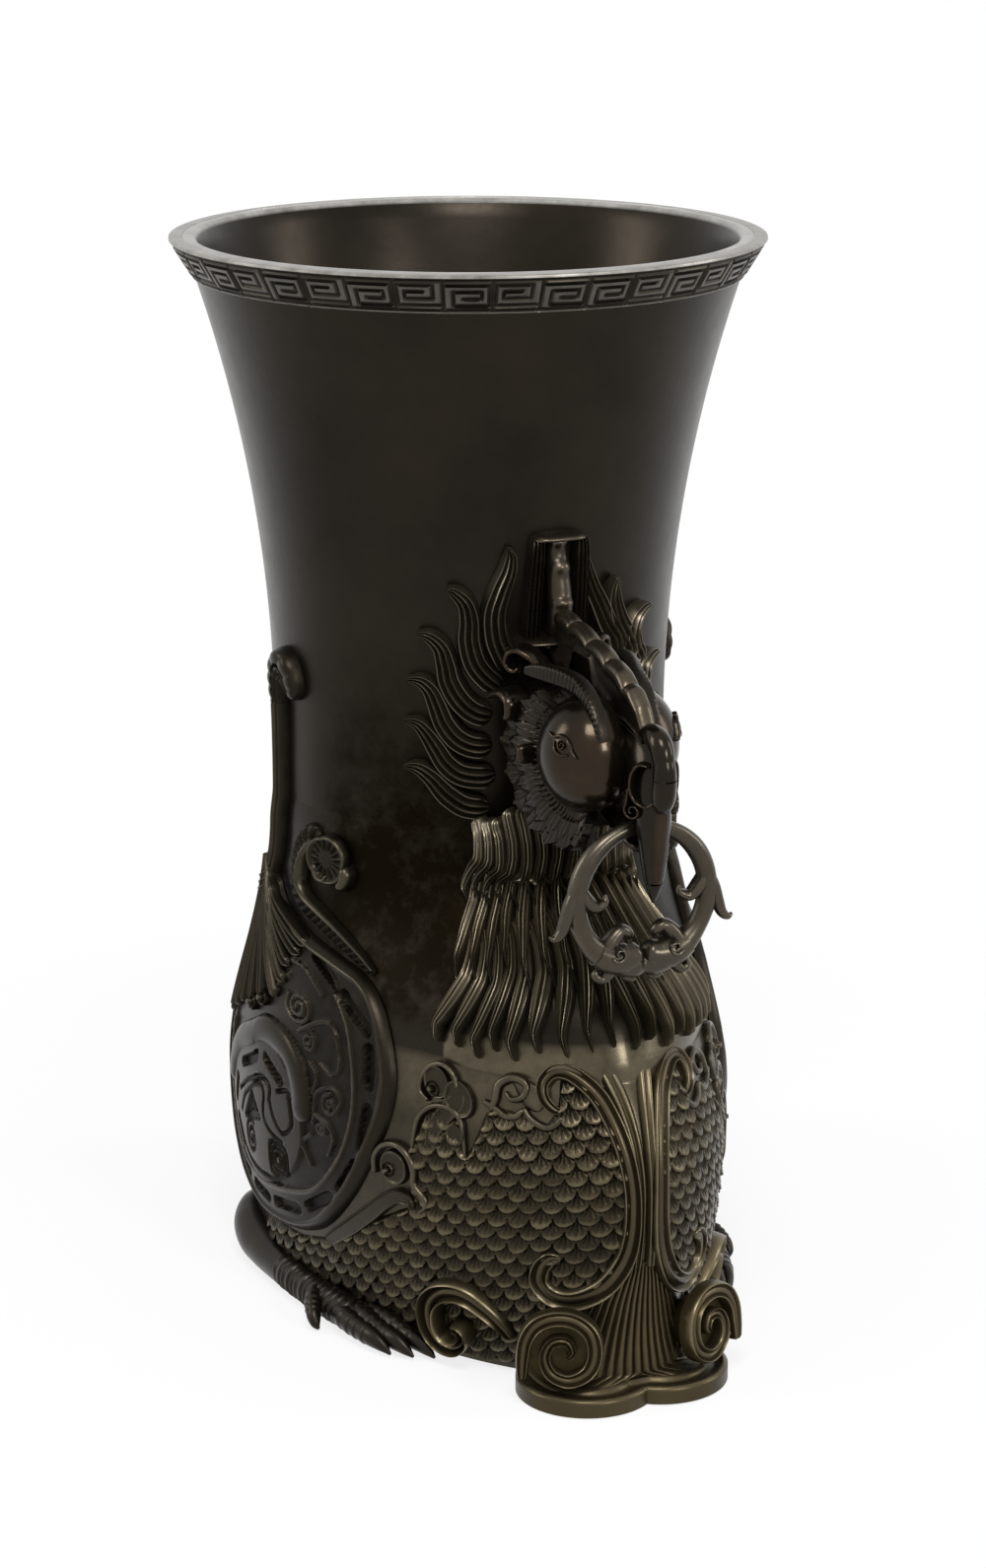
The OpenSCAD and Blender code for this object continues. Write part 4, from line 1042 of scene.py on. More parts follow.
for share in (1.0, 0.62, 0.25):
    corners = [(-20.0, -9.0), (-11.0, 2.5), (-2.0, -5.5), (-20.0, -9.0)]
    disc_lines.append([(-11.0 + (x + 11.0) * share, -4.0 + (y + 4.0) * share) for x, y in corners])
field_lines = [
    winding((22.0, 40.0), 8.4, 1.4, 2.1, 150.0, 1.0, 0.66), winding((29.0, 30.5), 3.6, 0.6, 1.5, 60.0, -1.0),
    winding((41.0, 12.5), 4.0, 0.6, 1.5, 90.0, 1.0), winding((36.5, 3.5), 2.6, 0.5, 1.4, 70.0, -1.0),
    smooth([
        (23.0, 32.5), (32.5, 37.5), (40.0, 39.0), (44.0, 33.5), (45.0, 26.0), (41.0, 23.0), (35.5, 25.0),
    ]),
    smooth([(32.5, 4.0), (34.0, 14.5), (41.0, 18.5), (46.0, 16.0), (43.5, 10.5)]),
    smooth([(34.0, 7.0), (40.0, 5.5), (42.5, 1.5), (40.0, -5.0)]),
    smooth([(31.0, -11.5), (27.0, -5.0), (31.5, 0.0)]), smooth([(15.0, 54.0), (25.0, 53.0), (35.0, 47.0)]),
    smooth([(4.0, 40.0), (8.0, 46.0), (14.0, 49.0)]), smooth([(30.0, 24.0), (34.0, 20.0), (32.0, 14.0)]),
]


def wing_shape(u, v):
    # The plaque from its middle to its edge with all its relief, then its sunk back
    front = v <= 0.95
    k = np.where(front, v / 0.95, (1.0 - v) / 0.05)
    at = u * edge_run[-1]
    edge_x = np.interp(at, edge_run, edge_closed[:, 0])
    edge_y = np.interp(at, edge_run, edge_closed[:, 1])
    x, y = edge_x * k, edge_y * k
    a, z = wing_mid[0] + x / flank, wing_mid[1] + y
    rim = gap_to_line(x, y, edge_loop + edge_loop[:1])
    inside = ease((inside_by(x, y, field_edge) + 0.4) / 0.8)
    height = 3.2 - 0.9 * inside
    # The plaque is painted darker towards its front edge, next to the neck: painted shade
    wear_and_shading = 0.46 - 0.32 * ease((x - 4.0) / 34.0) - 0.06 * inside
    raised = (1.0 - ease((nearest_gap(x, y, field_lines) - 0.45) / 0.55)) * inside
    height = height + 1.0 * raised
    wear_and_shading = wear_and_shading + 0.5 * raised
    across, up = (x + 6.0) / 34.0, (y + 1.0) / 28.0
    disc = ease((1.0 - np.hypot(across, up)) * 28.0)
    height = height + (3.7 - height) * disc
    wear_and_shading = wear_and_shading + (0.5 - wear_and_shading) * disc
    cut = (1.0 - ease((nearest_gap(x, y, disc_lines) - 0.5) / 0.6)) * disc
    height = height - 1.2 * cut
    wear_and_shading = wear_and_shading - 0.5 * cut
    ridge = 1.0 - ease((gap_to_line(x, y, inner_ridge) - 0.45) / 0.8)
    height = height + (3.9 - height) * ridge
    wear_and_shading = wear_and_shading + (0.82 - wear_and_shading) * ridge
    arch = np.sqrt(np.clip(1.0 - (gap_to_line(x, y, disc_arch) / 4.7) ** 2, 0.0, 1.0))
    height = np.maximum(height, np.where(arch > 0.0, 2.6 + 2.2 * arch**0.8, 0.0))
    wear_and_shading = np.where(arch > 0.0, 0.3 + 0.32 * arch, wear_and_shading)
    for cells, depth, half in ((deep_cells, 2.4, 2.5), (low_cells, 1.9, 2.1), (disc_cells, 1.9, 1.9)):
        sunk = 1.0 - ease((nearest_gap(x, y, cells) - half + 0.5) / 0.7)
        height = height - depth * sunk
        wear_and_shading = wear_and_shading + (0.04 - wear_and_shading) * sunk * 0.9
    bevel = np.interp(rim, [0.0, 0.6, 1.6, 2.8, 3.8, 4.6, 5.4], [-0.8, 0.9, 2.3, 3.4, 4.0, 3.9, 3.1])
    border = 1.0 - ease((rim - 4.4) / 0.9)
    height = height + (bevel - height) * border
    bevel_worn = np.interp(rim, [0.0, 1.2, 2.6, 3.8, 4.8, 5.4], [0.2, 0.4, 0.5, 0.78, 0.35, 0.1])
    wear_and_shading = wear_and_shading + (bevel_worn - wear_and_shading) * border
    height = np.where(front, height, -1.3)
    return lift(a, z, height), np.where(front, np.clip(wear_and_shading, 0.0, 1.0), 0.1)


def over_wing(a, z):
    # The face that the feathers of the wing lie on
    return lift(a, z, 2.2 + 0.0 * np.asarray(a, float))


stem_z = 146.0
feather = ridged(2, 0.55, 4.0)
feather_run = (
    (-0.03, -0.1, 1.6), (0.06, 0.12, 2.0), (0.3, 0.42, 3.4), (0.54, 0.64, 4.6), (0.78, 0.84, 5.2),
    (1.0, 1.0, 5.0),
)
feather_parts = []
feather_ends = [
    (-72.7, 127.8), (-75.2, 123.8), (-78.4, 118.6), (-79.6, 112.4), (-81.8, 106.4), (-88.2, 103.2),
    (-94.0, 99.0), (-99.6, 95.6), (-104.0, 92.0), (-107.5, 88.0),
]
for k, (end_a, end_z) in enumerate(feather_ends):
    stem_a = -93.4 - 0.42 * k
    stations = []
    for along, fall, wide in feather_run:
        feather_a = stem_a + (end_a - stem_a) * along
        stations.append((feather_a, stem_z + (end_z - stem_z) * fall, wide, 2.9))
    feather_parts.append(ribbon("feather", stations, 64, feather, 24, over_wing, 2.6))
    if k in (5, 6):
        feather_parts.append(boss("feather", end_a + 1.2, end_z + 0.6, 3.2, 12, eye_boss, 32, over_wing, 2.4))
for k in range(3):
    lower = 2.4 * k
    cord = [
        (-93.2, 146.4 - lower, 1.0, 4.6), (-96.2, 143.6 - lower, 1.4, 6.0), (-99.6, 140.6 - lower, 1.0, 4.0),
    ]
    feather_parts.append(ribbon("feather", cord, 30, rounded, 16))
wing_bronze = bronze(
    "wing_bronze", (0.0155, 0.0128, 0.0088), (0.0036, 0.0027, 0.001), (0.115, 0.098, 0.068),
    0.3, 24.0, 1.0, 0.3,
)
wing_right = close_up(cast_grid("wing_right_cast", 540, 126, wing_shape))
finish_pair(wing_right, wing_bronze, "wing")
feathers_right = joined("wing_feathers_right_cast", feather_parts)
feathers_left = mirrored(feathers_right, "wing_feathers_left_cast")
finish_piece(feathers_right, wing_bronze)
finish_piece(feathers_left, wing_bronze)

# Plumes of the wings
# Each wing ends in a tall ribbed plume up the vase with a cloud-shaped tip,
# and in a shorter hooked plume with slanting barbs and a lobed fan at its end.
plume_ridges = ridged(4, 0.45, 4.0)


def curled_end(q, v):
    # Combed ridges on the one side, a smooth round edge with lobes on the other
    lobes = 0.08 * np.abs(np.sin(v * math.pi * 8.0))
    dome = domed(q, 5.0, 0.55)
    wave = 0.5 - 0.5 * np.cos((q + 1.0) * math.pi * 4.0)
    combed_side = ease((q + 0.1) / 0.15) * (1.0 - wave)
    height = dome * (0.9 + lobes - 0.36 * combed_side)
    return height, np.clip(0.66 - 0.6 * combed_side, 0.0, 1.0) * dome


def barbed(q, v):
    # Slanting barbs on the lower side, a smooth raised edge on the upper side
    dome = domed(q, 5.0)
    barbs = (0.5 + 0.5 * np.cos(v * 150.0 + q * 4.0)) * ease((0.2 - q) / 0.12) * ease((q + 0.9) / 0.1)
    edge = ease((q - 0.26) / 0.2)
    return dome * (0.76 + 0.24 * edge - 0.32 * barbs), np.clip(0.4 + 0.4 * edge - 0.38 * barbs, 0.0, 1.0)


wing_plume_right = joined("wing_plume_right_cast", [
    ribbon("plume", [
        (-95.4, 142.0, 6.6, 3.6), (-94.6, 148.0, 7.6, 4.4), (-93.0, 155.0, 8.0, 4.4),
        (-92.0, 166.0, 8.0, 4.4), (-91.6, 184.0, 7.6, 4.4), (-91.4, 200.0, 7.8, 4.6),
        (-91.2, 209.0, 8.0, 4.8),
    ], 120, plume_ridges, 44),
    ribbon("plume", [
        (-91.4, 203.0, 6.4, 4.4), (-91.2, 211.0, 8.8, 5.2), (-89.8, 217.6, 10.4, 5.6),
        (-86.6, 221.2, 11.0, 5.8), (-83.2, 219.2, 10.6, 5.6), (-81.2, 213.6, 9.0, 5.2),
        (-81.6, 209.2, 5.0, 4.0),
    ], 130, curled_end, 52),
])
finish_pair(wing_plume_right, wing_bronze, "wing_plume")


def fan_tip(k, turn):
    # A ribbed fan inside a raised rim
    ribs = (0.5 + 0.5 * np.cos(turn * 15.0)) * ease((k - 0.25) / 0.2) * ease((0.74 - k) / 0.06)
    rim = bump(k, 0.86, 0.09)
    height = 3.4 * np.clip(1.0 - k**8, 0.0, 1.0) ** 0.5 + 1.5 * rim - 0.9 * ribs
    return height, np.clip(0.4 + 0.5 * rim - 0.36 * ribs, 0.0, 1.0)


def fan_lobes(turn):
    # The lobed edge of the hooked plume's fan
    return 0.92 + 0.12 * np.abs(np.sin(1.5 * turn + 0.4)) ** 0.7


hook_plume_right = joined("hook_plume_right_cast", [
    ribbon("hook", [
        (-56.2, 125.5, 2.6, 2.8), (-59.4, 129.5, 4.6, 3.8), (-64.1, 133.9, 6.2, 4.4),
        (-69.3, 137.9, 7.2, 4.6), (-74.9, 141.8, 7.8, 4.6), (-78.1, 147.2, 7.8, 4.6),
        (-78.3, 153.5, 8.2, 4.6), (-76.7, 159.6, 8.8, 4.6), (-73.0, 164.4, 9.4, 4.6),
        (-69.0, 165.4, 9.0, 4.4),
    ], 140, barbed, 44),
    boss("hook", -65.5, 158.8, 9.0, 36, fan_tip, 120, skin, 1.2, fan_lobes),
    ribbon("hook", [
        (-60.6, 158.0, 4.0, 4.0), (-59.2, 154.6, 5.6, 4.8), (-60.4, 151.2, 5.4, 4.8),
        (-63.0, 150.2, 3.4, 3.8),
    ], 44, rounded, 30),
    ribbon("hook", [
        (-70.6, 156.4, 2.0, 3.6), (-69.2, 152.4, 2.8, 4.4), (-66.6, 151.2, 2.6, 4.4),
        (-65.4, 153.6, 1.4, 3.6),
    ], 44, rounded, 20),
])
finish_pair(hook_plume_right, wing_bronze, "hook_plume")

# Legs
# A leg on each side along the foot of the body: smooth thigh, a shank ringed with plates,
# a spur, and three toes with claws. Cast solid and carrying the vessel's weight.
def tube(name, stations, rows, around, relief=None, up=(0.0, 0.0, 1.0)):
    # A closed bar along stations of (x, y, z, half width, half depth)
    path = flow(stations, rows)
    spot = path[:, :3]
    run = unit(np.gradient(spot, axis=0))
    side = unit(np.cross(run, np.broadcast_to(np.asarray(up, float), run.shape)))
    over = np.cross(side, run)

    def shape(u, v):
        i = np.rint(v * (rows - 1)).astype(int)
        turn = u * 2.0 * math.pi
        # Without a relief, the side of the tube towards up is painted lighter and the far side darker:
        # painted light and shade
        more, wear_and_shading = relief(v, turn) if relief else (0.0 * u, 0.5 + 0.15 * np.cos(turn))
        wide = (path[i, 3] + more) * np.sin(turn)
        deep = (path[i, 4] + more) * np.cos(turn)
        return spot[i] + side[i] * wide[:, None] + over[i] * deep[:, None], wear_and_shading

    return cast_grid(name, around, rows - 1, shape)


def shank_plates(v, turn):
    # Overlapping plates round the lower half of the leg
    ringed = ease((v - 0.5) / 0.04) * ease((0.98 - v) / 0.04)
    saw = (v * 34.0) % 1.0
    step = saw**1.5 - 0.5
    return 0.7 * ringed * step, 0.5 + 0.35 * ringed * step


def toe_joints(v, turn):
    # Rings round a toe, up to its smooth claw
    ringed = ease((0.72 - v) / 0.06)
    saw = (v * 9.0) % 1.0
    return 0.45 * ringed * (saw - 0.5), 0.5 + 0.4 * ringed * (saw - 0.5)


leg_parts = [
    tube("leg", [
        (-65.0, 38.0, 15.0, 2.6, 2.6), (-70.0, 32.0, 13.6, 5.0, 5.0), (-73.4, 25.0, 10.6, 6.4, 6.6),
        (-75.0, 16.0, 8.2, 6.6, 7.2), (-75.2, 6.0, 7.2, 6.0, 6.8), (-74.8, -5.0, 6.6, 5.4, 6.2),
        (-73.9, -16.0, 6.4, 5.2, 5.9), (-72.6, -27.0, 6.3, 5.2, 5.8), (-71.0, -37.0, 6.3, 5.4, 5.8),
        (-69.0, -46.0, 6.4, 5.8, 5.9), (-66.8, -54.0, 6.0, 5.6, 5.6), (-64.8, -61.0, 5.6, 3.6, 3.8),
    ], 150, 48, shank_plates),
    tube("leg", [
        (-68.6, -46.0, 6.4, 3.4, 3.6), (-69.4, -56.0, 6.0, 3.9, 4.2), (-67.6, -65.0, 5.0, 3.4, 3.8),
        (-65.8, -72.0, 4.4, 2.8, 3.4), (-64.2, -77.0, 3.0, 1.7, 2.1), (-62.8, -80.2, 1.2, 0.4, 0.5),
    ], 60, 24, toe_joints),
    tube("leg", [
        (-65.0, -50.0, 7.0, 3.4, 3.6), (-64.2, -61.0, 6.6, 4.0, 4.4), (-62.0, -70.6, 5.2, 3.4, 3.8),
        (-60.0, -77.4, 4.6, 2.8, 3.4), (-58.2, -82.2, 3.0, 1.7, 2.1), (-56.6, -85.2, 1.2, 0.4, 0.5),
    ], 60, 24, toe_joints),
    tube("leg", [
        (-61.0, -56.0, 7.4, 3.2, 3.4), (-58.6, -66.0, 7.0, 3.8, 4.2), (-55.6, -75.6, 5.4, 3.2, 3.6),
        (-53.4, -81.6, 4.4, 2.6, 3.0), (-51.6, -86.0, 2.8, 1.5, 1.9), (-50.4, -88.6, 1.2, 0.4, 0.5),
    ], 60, 24, toe_joints),
    tube("leg", [
        (-71.0, -36.0, 8.6, 2.8, 2.8), (-75.0, -41.4, 8.0, 3.2, 3.2), (-77.4, -46.6, 5.4, 2.7, 2.9),
        (-78.0, -50.0, 2.8, 1.8, 2.0), (-77.4, -51.6, 1.0, 0.4, 0.5),
    ], 40, 20, toe_joints),
]
leg_bronze = bronze(
    "leg_bronze", (0.018, 0.0155, 0.0118), (0.015, 0.012, 0.0066), (0.09, 0.078, 0.06), 0.32, 24.0
)
leg_right = joined("leg_right_cast", leg_parts)
finish_pair(leg_right, leg_bronze, "leg")

# Neck
# The half-round neck that stands out of the vase and carries the head, with fine combed lines
# under the plumes; its foot runs out into the smooth breast.
neck_top_z = 189.9
neck_low_z = 106.0
neck_foot_z = 104.0
neck_edge = 40.0
cast_edge = 39.8


def neck_run(z):
    # Share of the way down the neck
    return np.clip((neck_top_z - np.asarray(z, float)) / (neck_top_z - neck_low_z), 0.0, 1.2)


def neck_half(z):
    # How far round the vase the neck reaches, in degrees
    return 21.0 + 23.0 * ease((neck_run(z) - 0.28) / 0.72)


def neck_face(p, z):
    # The neck's surface; p runs from minus neck_edge on the right to neck_edge on the left
    p, z = np.broadcast_arrays(np.asarray(p, float), np.asarray(z, float))
    u = p / neck_edge
    stand = 25.0 * np.clip(1.0 - neck_run(z) ** 1.3, 0.0, 1.0) * (1.0 - np.abs(u) ** 2.2)
    return lift(u * neck_half(z), z, 1.6 + stand)


def neck_shape(u, v):
    # The neck's front with its combed lines, then its back inside the wall
    p = (u * 2.0 - 1.0) * cast_edge
    front = v <= 0.9
    tall = 88.0 - 16.0 * ease((np.abs(p) - 14.0) / 24.0)
    z = np.where(front, neck_foot_z + v / 0.9 * tall, neck_foot_z + (1.0 - v) / 0.1 * tall)
    edge = ease((1.0 - np.abs(p) / cast_edge) / 0.03) * ease((z - neck_foot_z) / 4.0)
    combed = np.cos(u * math.pi * 150.0) * ease((z - 122.0) / 6.0)
    rise = 0.25 * combed - 0.4 - 1.6 * (1.0 - edge)
    place = neck_face(p, z) + outward(neck_face, p, z) * rise[:, None]
    back = lift(p / neck_edge * neck_half(z), z, -0.6 + 0.0 * z)
    # The neck is painted dark under the plumes (painted shade), and its foot bright to run into the painted
    # sheen of the breast
    under = 0.34 + 0.1 * combed
    wear_and_shading = under + (0.76 - under) * ease((120.0 - z) / 8.0)
    return np.where(front[:, None], place, back), np.where(front, wear_and_shading, 0.3)


neck_bronze = bronze(
    "neck_bronze", (0.072, 0.062, 0.043), (0.036, 0.0298, 0.0156), (0.36, 0.31, 0.215), 0.28, 26.0
)
neck = close_up(cast_grid("neck_cast", 240, 50, neck_shape))
finish_piece(neck, body_bronze, stands_for=["neck"])

# Neck plumes
# Three tiers of wavy, combed plumes that hang over the neck, each ending in a hooked point.
# They are rooted in the neck, and the tips of each tier stand over the roots of the one below.
plume_lock = ridged(4, 0.36, 3.0)
sway_at = (0.0, 0.2, 0.4, 0.62, 0.82, 1.0)


def plume_tier(name, places, roots, low_edge, sway, thickness, stand):
    # One tier of locks: each hangs from its root, sways, fills its share of the width, ends in a point
    locks = []
    outer = [2.0 * places[0] - places[1]] + places + [2.0 * places[-1] - places[-2]]
    for k, p in enumerate(places):
        hand = 1.0 if p < 0.0 else -1.0
        share = 0.5 * (outer[k + 2] - outer[k])
        top = float(np.interp(abs(p), *roots)) + 1.2 * math.cos(k * 1.9)
        tip = float(np.interp(abs(p), *low_edge)) + 1.2 * math.sin(k * 2.7)
        stations = []
        for j in range(13):
            t = j / 12.0
            z = top + (tip - top) * t
            one_step = float(np.linalg.norm(neck_face(p + 0.5, z) - neck_face(p - 0.5, z)))
            wide = one_step * share * (0.97 + 0.07 * math.sin(k * 5.1))
            wide = wide * (1.0 - 0.86 * ease((t - 0.5) / 0.52))
            swelling = 0.6 + 0.4 * math.sin(math.pi * 0.5 * min(1.0, t * 1.6))
            thick = thickness * swelling * (1.0 - 0.45 * t**6)
            stations.append((p + hand * float(np.interp(t, sway_at, sway)), z, wide, thick, stand * t))
        locks.append(ribbon(name, stations, 44, plume_lock, 32, neck_face, 2.6))
    return joined(name, locks)


tiers = (
    ("neck_plumes_lower", [
        -39.1, -35.2, -31.6, -28.4, -25.0, -20.4, -14.8, -9.2, -3.4, 2.4, 8.0, 13.6, 18.5, 23.0, 27.5, 31.5,
        35.2, 39.0,
    ], ([0.0, 40.0], [142.0, 142.0]),
     ([0.0, 13.0, 20.0, 28.0, 32.0, 39.0], [113.8, 112.3, 111.2, 110.2, 109.4, 111.0]),
     (0.6, 2.0, 2.2, 0.2, -1.3, -0.5), 3.8, 1.0),
    ("neck_plumes_middle", [
        -39.0, -34.4, -30.1, -26.0, -21.4, -16.0, -10.4, -4.8, 1.0, 6.6, 12.0, 17.0, 22.0, 26.5, 31.0, 35.2,
        39.0,
    ], ([0.0, 40.0], [164.0, 164.0]),
     ([0.0, 16.0, 26.0, 34.0, 39.0], [124.0, 124.7, 126.2, 127.0, 127.6]),
     (1.6, 2.6, 2.0, -0.8, -1.8, 0.2), 3.9, 1.6),
    ("neck_plumes_upper", [
        -38.4, -34.2, -30.2, -26.0, -21.2, -16.2, -10.8, -5.0, 0.8, 6.5, 12.0, 17.0, 22.0, 27.0, 31.5, 36.0,
    ], ([0.0, 14.0, 38.0], [191.0, 190.0, 178.0]),
     ([0.0, 16.0, 22.0, 27.0, 30.0, 35.0], [139.0, 139.7, 140.4, 142.2, 145.4, 148.8]),
     (-1.2, 1.6, 2.6, -0.2, -2.2, 0.2), 3.9, 2.0),
)
for node_name, *tier_form in tiers:
    tier = plume_tier(node_name + "_cast", *tier_form)
    finish_piece(tier, neck_bronze, stands_for=[node_name])

# Head
# The hollow-cast head, soldered to the vase and the neck: polished cheeks with a small eye,
# a combed ruff behind them, brows that end in curls, and the hooked beak that holds the ring.
head_back = 64.0
head_front = 138.0
head_rows = np.array([
    (64.0, 212.0, 14.0, 17.0), (72.0, 209.6, 15.4, 21.6), (82.0, 207.4, 15.8, 24.0),
    (94.0, 206.6, 15.0, 24.6), (106.0, 206.6, 13.2, 23.0), (116.0, 207.4, 10.4, 20.4),
    (124.0, 208.6, 8.2, 17.0), (131.0, 209.6, 6.8, 13.4), (138.0, 210.0, 5.0, 8.0),
])


def head_face(a, forward):
    # The head's core: a runs from the top over the right side, forward is the distance from the axis
    a, forward = np.broadcast_arrays(np.asarray(a, float), np.asarray(forward, float))
    z, wide, high = (np.interp(forward, head_rows[:, 0], head_rows[:, k]) for k in (1, 2, 3))
    sine, cosine = np.sin(np.radians(a)), np.cos(np.radians(a))
    return np.stack([-wide * sine, -forward, z + high * cosine], -1)


def core_shape(u, v):
    # The core between cheeks and crest, with hair lines on its back half
    a = u * 360.0
    forward = head_back + v * (head_front - head_back)
    hairs = np.cos((a + 1.6 * forward) * 0.9) * ease((112.0 - forward) / 8.0)
    place = head_face(a, forward) + outward(head_face, a, forward) * (0.28 * hairs)[:, None]
    return place, 0.42 + 0.28 * hairs


cheek_mid = np.array((-11.4, -120.4, 212.8))
cheek_size = np.array((15.2, 17.4, 18.8))


def cheek_shape(u, v):
    # A polished ball with a painted highlight, lighter on the side that faces forward and to the bird's right
    turn = u * 2.0 * math.pi
    tall = (v - 0.5) * math.pi
    ball = np.stack([np.cos(tall) * np.sin(turn), np.cos(tall) * np.cos(turn), np.sin(tall)], 1)
    return cheek_mid + ball * cheek_size, 0.56 + 0.3 * np.clip(-ball[:, 1] * 0.8 - ball[:, 0] * 0.3, 0.0, 1.0)


def on_cheek(direction, out=0.0):
    # A place on the cheek with its two flat directions
    aim = unit(np.asarray(direction, float))
    spot = cheek_mid + aim * cheek_size
    off = unit(aim / cheek_size)
    right = unit(np.cross((0.0, 0.0, 1.0), off))
    return spot + off * out, right, np.cross(off, right)


def combed(q, v):
    # A round moulding with fine lines across it
    dome = domed(q, 4.0)
    lines = 0.5 + 0.5 * np.cos(v * 2.0 * math.pi * 28.0 + q * 1.4)
    return dome * (0.72 + 0.28 * lines), 0.2 + 0.5 * lines * dome


def plane_ribbon(name, centre, right, up, stations, rows, outline, around=30, sink=1.0):
    # A ribbon drawn on a flat face given by its middle and its two directions
    right, up = np.asarray(right, float), np.asarray(up, float)

    def flat_face(a, z):
        a, z = np.broadcast_arrays(np.asarray(a, float), np.asarray(z, float))
        return np.asarray(centre, float) + a[..., None] * right + z[..., None] * up

    return ribbon(name, stations, rows, outline, around, flat_face, sink)


def spiral(turns, start, big, small, width, thick, count, rise=0.0):
    # Stations of a volute that winds inwards
    made = []
    for k in range(count + 1):
        t = k / count
        turn = math.radians(start) + t * turns * 2.0 * math.pi
        r = big + (small - big) * t**0.85
        x, y = r * math.cos(turn), r * math.sin(turn)
        made.append((x, y, width * (1.0 - 0.45 * t), thick * (1.0 + rise * t)))
    return made


eye_place, eye_right, eye_up = on_cheek((-0.8, -0.5, 0.33), -0.3)
eye_lines = (
    ([(-6.0, 3.4, 0.8, 0.8), (-3.6, 2.2, 1.2, 1.2), (-1.0, 2.8, 1.7, 1.5), (1.8, 1.6, 1.7, 1.5),
      (4.0, -1.4, 1.3, 1.2), (6.0, -3.2, 0.6, 0.7)], 44),
    ([(-3.4, 1.2, 0.6, 0.6), (-2.6, -1.6, 1.0, 1.0), (-0.2, -3.0, 1.2, 1.1), (2.8, -2.6, 0.8, 0.8)], 34),
    (spiral(1.6, 40.0, 1.9, 0.3, 0.9, 1.3, 18), 50),
)
half_head = [cast_grid("cheek", 96, 64, cheek_shape)]
for eye_line, eye_rows in eye_lines:
    half_head.append(
        plane_ribbon("eye", eye_place, eye_right, eye_up, eye_line, eye_rows, rounded, 20)
    )


def ruff_face(p, q):
    # A soft collar round the cheek: minus p is the turn from above towards the back, q the reach
    p, q = np.broadcast_arrays(np.asarray(p, float), np.asarray(q, float))
    turn = np.radians(-p)
    back = np.clip(np.sin(turn), 0.0, 1.0)
    x = -13.6 - 2.4 * back - 4.6 * ease((q - 0.8) / 0.9) * (0.3 + 0.7 * back)
    y = -119.6 + 17.0 * q * np.sin(turn)
    z = 212.2 + 18.8 * (1.0 + 0.78 * (q - 1.0)) * np.cos(turn)
    return np.stack([x, y, z], -1)


def collar_reach(turn):
    # How far the collar's leaves reach, in cheek radii
    turns = [50.0, 72.0, 92.0, 130.0, 160.0, 190.0, 208.0]
    return np.interp(turn, turns, [1.5, 1.9, 2.56, 2.5, 2.1, 1.66, 1.2])


collar_rows = ((0.56, 1.0, 15.0, 7.5), (0.24, 0.74, 12.0, 0.0), (-0.1, 0.34, 5.0, 0.0))


def collar_height(turn, q):
    # Three rows of combed leaves, each lying over the roots of the next: fine strokes, then tufts
    far = collar_reach(turn)
    rise = np.where(q < far - 0.12, 0.2, -1.6)
    wear_and_shading = np.full(np.shape(q), 0.2)
    for root, tip, pitch, shift in collar_rows:
        run = far - 0.9
        t = (q - 0.9 - root * run) / ((tip - root) * run)
        side = (turn - shift) / pitch
        side = (side - np.round(side)) * 2.0 + 0.25 * np.clip(t, 0.0, 1.0) ** 2
        room = 1.05 - 0.98 * ease((t - 0.55) / 0.45)
        within = (t >= 0.0) & (t <= 1.0) & (np.abs(side) < room)
        lines = 0.5 + 0.5 * np.cos(side * math.pi * (3.0 if pitch > 5.0 else 1.0))
        height = 0.4 + 0.9 * t + 0.32 * lines - 0.3 * side * side
        rise = np.where(within, height, rise)
        leaf_worn = np.clip(0.16 + 0.3 * t + 0.4 * lines - 0.2 * np.abs(side), 0.0, 1.0)
        wear_and_shading = np.where(within, leaf_worn, wear_and_shading)
    return rise, wear_and_shading


def collar_shape(u, v):
    turn = 52.0 + u * 154.0
    front = v <= 0.92
    span = collar_reach(turn) - 0.82
    q = np.where(front, 0.84 + span * v / 0.92, 0.84 + span * (1.0 - v) / 0.08)
    rise, wear_and_shading = collar_height(turn, q)
    off = np.where(front, rise, -3.4)[:, None]
    return ruff_face(-turn, q) + outward(ruff_face, -turn, q) * off, np.where(front, wear_and_shading, 0.1)


